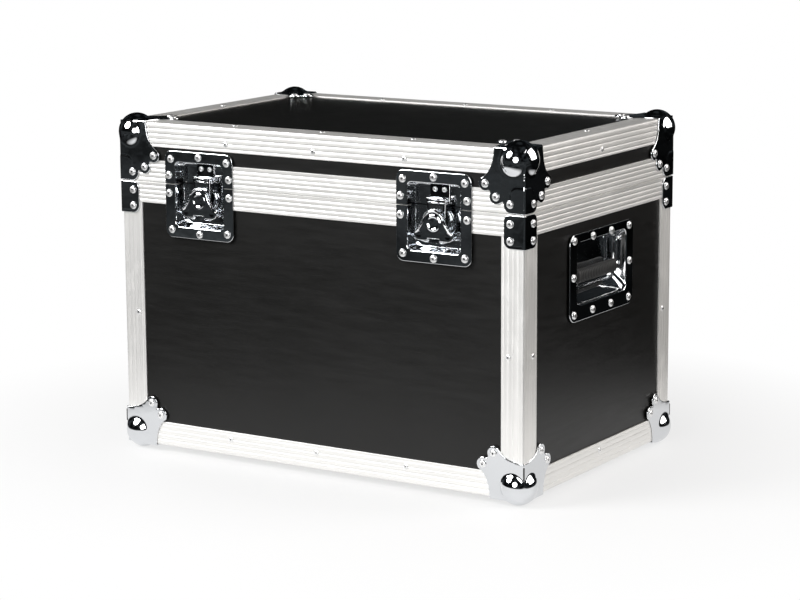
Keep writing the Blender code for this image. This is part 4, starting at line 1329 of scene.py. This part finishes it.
def foam_pockets():
    """Room in the tray for the latch wells and the handle cups."""
    clear, room = 0.0018, []
    for _, s in SIDES:
        x = s * LATCH_X
        room.append((Vector((x - WELL[0] - clear, -HALF_D, WELL[1] - clear)),
                     Vector((x + WELL[0] + clear, -HALF_D + WELL_DEPTH + clear, WELL[2]))))
        near, far = sorted((s * HALF_W, s * (HALF_W - CUP_DEPTH - clear)))
        room.append((Vector((near, -CUP[0] - clear, CUP[1] - clear)),
                     Vector((far, CUP[0] + clear, CUP[2] + clear))))
    return room


CRATE_PITCH = 0.032      # the egg-crate waves of the lid's foam
CRATE_WAVE = 0.0055
CRATE_EDGE = 0.012       # the waves fade out over this
CRATE_ROUND = 0.008


def crate_depth(x, y, edge):
    """How far the egg-crate foam is from its lowest point, at a distance from its edge."""
    crate = math.sin(2 * math.pi * x / CRATE_PITCH) * math.sin(2 * math.pi * y / CRATE_PITCH)
    sag = 0.0006 * noise.noise(Vector((x, y, 0.0)) * 30.0)
    short = 1 - min(1.0, edge / CRATE_ROUND)
    round_off = CRATE_ROUND * (1 - math.sqrt(max(0.0, 1 - short ** 2)))
    return CRATE_WAVE + round_off + min(1.0, edge / CRATE_EDGE) * (CRATE_WAVE * crate + sag)


def build_lid_foam():
    """The lid's foam: an egg-crate sheet with a rounded edge."""
    low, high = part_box("lid_foam")
    middle, half = (low + high) / 2, (high - low) / 2
    nx, ny = 120, 74
    bm = bmesh.new()
    rows = []
    for u in (2 * i / nx - 1 for i in range(nx + 1)):
        row = []
        for v in (2 * k / ny - 1 for k in range(ny + 1)):
            x, y = middle.x + u * half.x, middle.y + v * half.y
            edge = min(half.x * (1 - abs(u)), half.y * (1 - abs(v)))
            row.append(bm.verts.new((x, y, low.z + crate_depth(x, y, edge))))
        rows.append(row)
    for near, far in zip(rows, rows[1:]):
        bridge(bm, far, near, closed=False)
    loop = [row[0] for row in rows[:-1]] + rows[-1][:-1]
    loop += [row[-1] for row in rows[:0:-1]] + rows[0][:0:-1]
    tops = [bm.verts.new((vert.co.x, vert.co.y, high.z)) for vert in loop]
    bridge(bm, loop, tops)
    bm.faces.new(tops)
    reshape("lid_foam", facing(bm), SPONGE, "lid", 60)


# Panels -----------------------------------------------------------------------------------
def build_panels():
    """Gives the frame's own panels, which stay in view, their laminate."""
    for name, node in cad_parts.items():
        if name.endswith("_panel"):
            node.data.materials.clear()
            node.data.materials.append(LAMINATE)


# Studio -----------------------------------------------------------------------------------
CAMERA_PLACE = Vector((1.6447, -2.6051, 0.7790))
CAMERA_YAW = math.radians(32.222)
CAMERA_PITCH = math.radians(-10.924)
CAMERA_ROLL = math.radians(-0.327)
CAMERA_LENS = 113.34
SENSOR = 36.0
WHITE = (1.0, 1.0, 1.0)


def build_camera():
    """The camera, in front of the case, to its right and above its lid."""
    data = bpy.data.cameras.new("camera")
    data.lens, data.sensor_width = CAMERA_LENS, SENSOR
    data.clip_start, data.clip_end = 0.05, 50.0
    camera = linked("camera", data)
    look = Matrix.Rotation(CAMERA_YAW, 3, "Z") @ Matrix.Rotation(math.pi / 2 + CAMERA_PITCH, 3, "X")
    turn = look @ Matrix.Rotation(CAMERA_ROLL, 3, "Z")
    camera.matrix_world = Matrix.Translation(CAMERA_PLACE) @ turn.to_4x4()
    bpy.context.scene.camera = camera


def softbox(name, place, target, size, power, shape="ELLIPSE", tone=WHITE):
    """An area light that faces a target."""
    data = bpy.data.lights.new(name, "AREA")
    data.shape, data.size, data.size_y = shape, size, size
    data.energy, data.color = power, tone
    lamp = linked(name, data)
    lamp.location = place
    lamp.rotation_mode = "QUATERNION"
    lamp.rotation_quaternion = (Vector(target) - Vector(place)).to_track_quat("-Z", "Y")


def build_lights():
    middle = Vector((0.0, 0.0, 0.2))
    softbox("key_left", (-1.45, -1.75, 1.65), middle, 1.5, 92.0)
    softbox("front_low", (0.37, -1.75, 0.60), middle, 0.85, 13.0)
    softbox("back_right", (1.75, 0.75, 1.20), middle, 1.6, 37.0, "RECTANGLE", (1.0, 0.97, 0.94))


def build_world():
    """White to the camera, a dark room to everything that reflects it."""
    world = bpy.data.worlds.new("studio")
    world.use_nodes = True
    tree = world.node_tree
    tree.nodes.clear()
    kind = "ShaderNodeBackground"
    rays = add(tree, "ShaderNodeLightPath").outputs
    around = add(tree, "ShaderNodeTexCoord").outputs["Generated"]
    drapes = spread(tree, noise_field(tree, around, 2.6, 1.0), 0.003, 0.045, 0.47, 0.72)
    room = shine(tree, kind, (0.80, 0.92, 1.0), drapes)
    soft = shine(tree, kind, (1.0, 0.99, 0.98), 0.26)
    unseen = chosen(tree, rays["Is Diffuse Ray"], room, soft)
    shown = chosen(tree, rays["Is Camera Ray"], unseen, shine(tree, kind, WHITE, 1.0))
    add(tree, "ShaderNodeOutputWorld", {"Surface": shown})
    bpy.context.scene.world = world


def floor_shader(look):
    """Pale paper, white to the camera away from the case; near the case it glows in reflections, and far off
    it is dark in reflections.
    """
    tree, paper, kind = look.tree, look.shader.outputs[0], "ShaderNodeEmission"
    rays = add(tree, "ShaderNodeLightPath").outputs
    far = add(tree, "ShaderNodeVectorMath", {0: look.place}, operation="LENGTH").outputs["Value"]
    depth = add(tree, "ShaderNodeSeparateXYZ", {0: look.place}).outputs["Y"]
    front = look.spread(depth, 1.0, 0.10, -0.8, 0.2)
    gloom = look.spread(look.noise(2.2, 1.0), 0.010, 0.060, 0.36, 0.68)
    dark = shine(tree, kind, (0.86, 0.95, 1.0), look.combine("MULTIPLY", gloom, front))
    dull = add(tree, "ShaderNodeBsdfDiffuse", {"Color": (0.26, 0.26, 0.26, 1.0)}).outputs[0]
    # Near the case, glossy rays see dull grey plus a white glow: a painted reflection that brightens the
    # chrome.
    near = add(tree, "ShaderNodeAddShader", {0: dull, 1: shine(tree, kind, WHITE, 0.56)}).outputs[0]
    glossy = chosen(tree, look.spread(far, start=0.50, end=0.72), near, dark)
    diffuse = chosen(tree, look.spread(far, start=0.8, end=1.4), paper, dark)
    unseen = chosen(tree, rays["Is Glossy Ray"], diffuse, glossy)
    shown = chosen(tree, look.spread(far, 0.66, 1.0), paper, shine(tree, kind, WHITE, 1.0))
    return chosen(tree, rays["Is Camera Ray"], unseen, shown)


def build_floor():
    """A plain pale floor just under the case."""
    bm = bmesh.new()
    bmesh.ops.create_grid(bm, x_segments=2, y_segments=2, size=12.0)
    floor = linked("floor", mesh_of("floor", bm))
    floor.location.z = CAD_BOX[0].z - 0.0001
    look = Look("floor", (0.66, 0.66, 0.66), 0.6, 0.0)
    look.bump((look.noise(260.0), 0.03, 0.0004))
    output = look.tree.nodes["Material Output"]
    look.tree.links.new(floor_shader(look), output.inputs["Surface"])
    floor.data.materials.append(look.material)


build_panels()
build_bars()
build_closures()
build_corners()
build_braces()
build_bar_rivets()
build_latches()
build_handles()
build_hinge()
build_tray()
build_lid_foam()
build_camera()
build_lights()
build_world()
build_floor()

bpy.context.scene.view_settings.view_transform = "Standard"
bpy.context.scene.view_settings.look = "None"
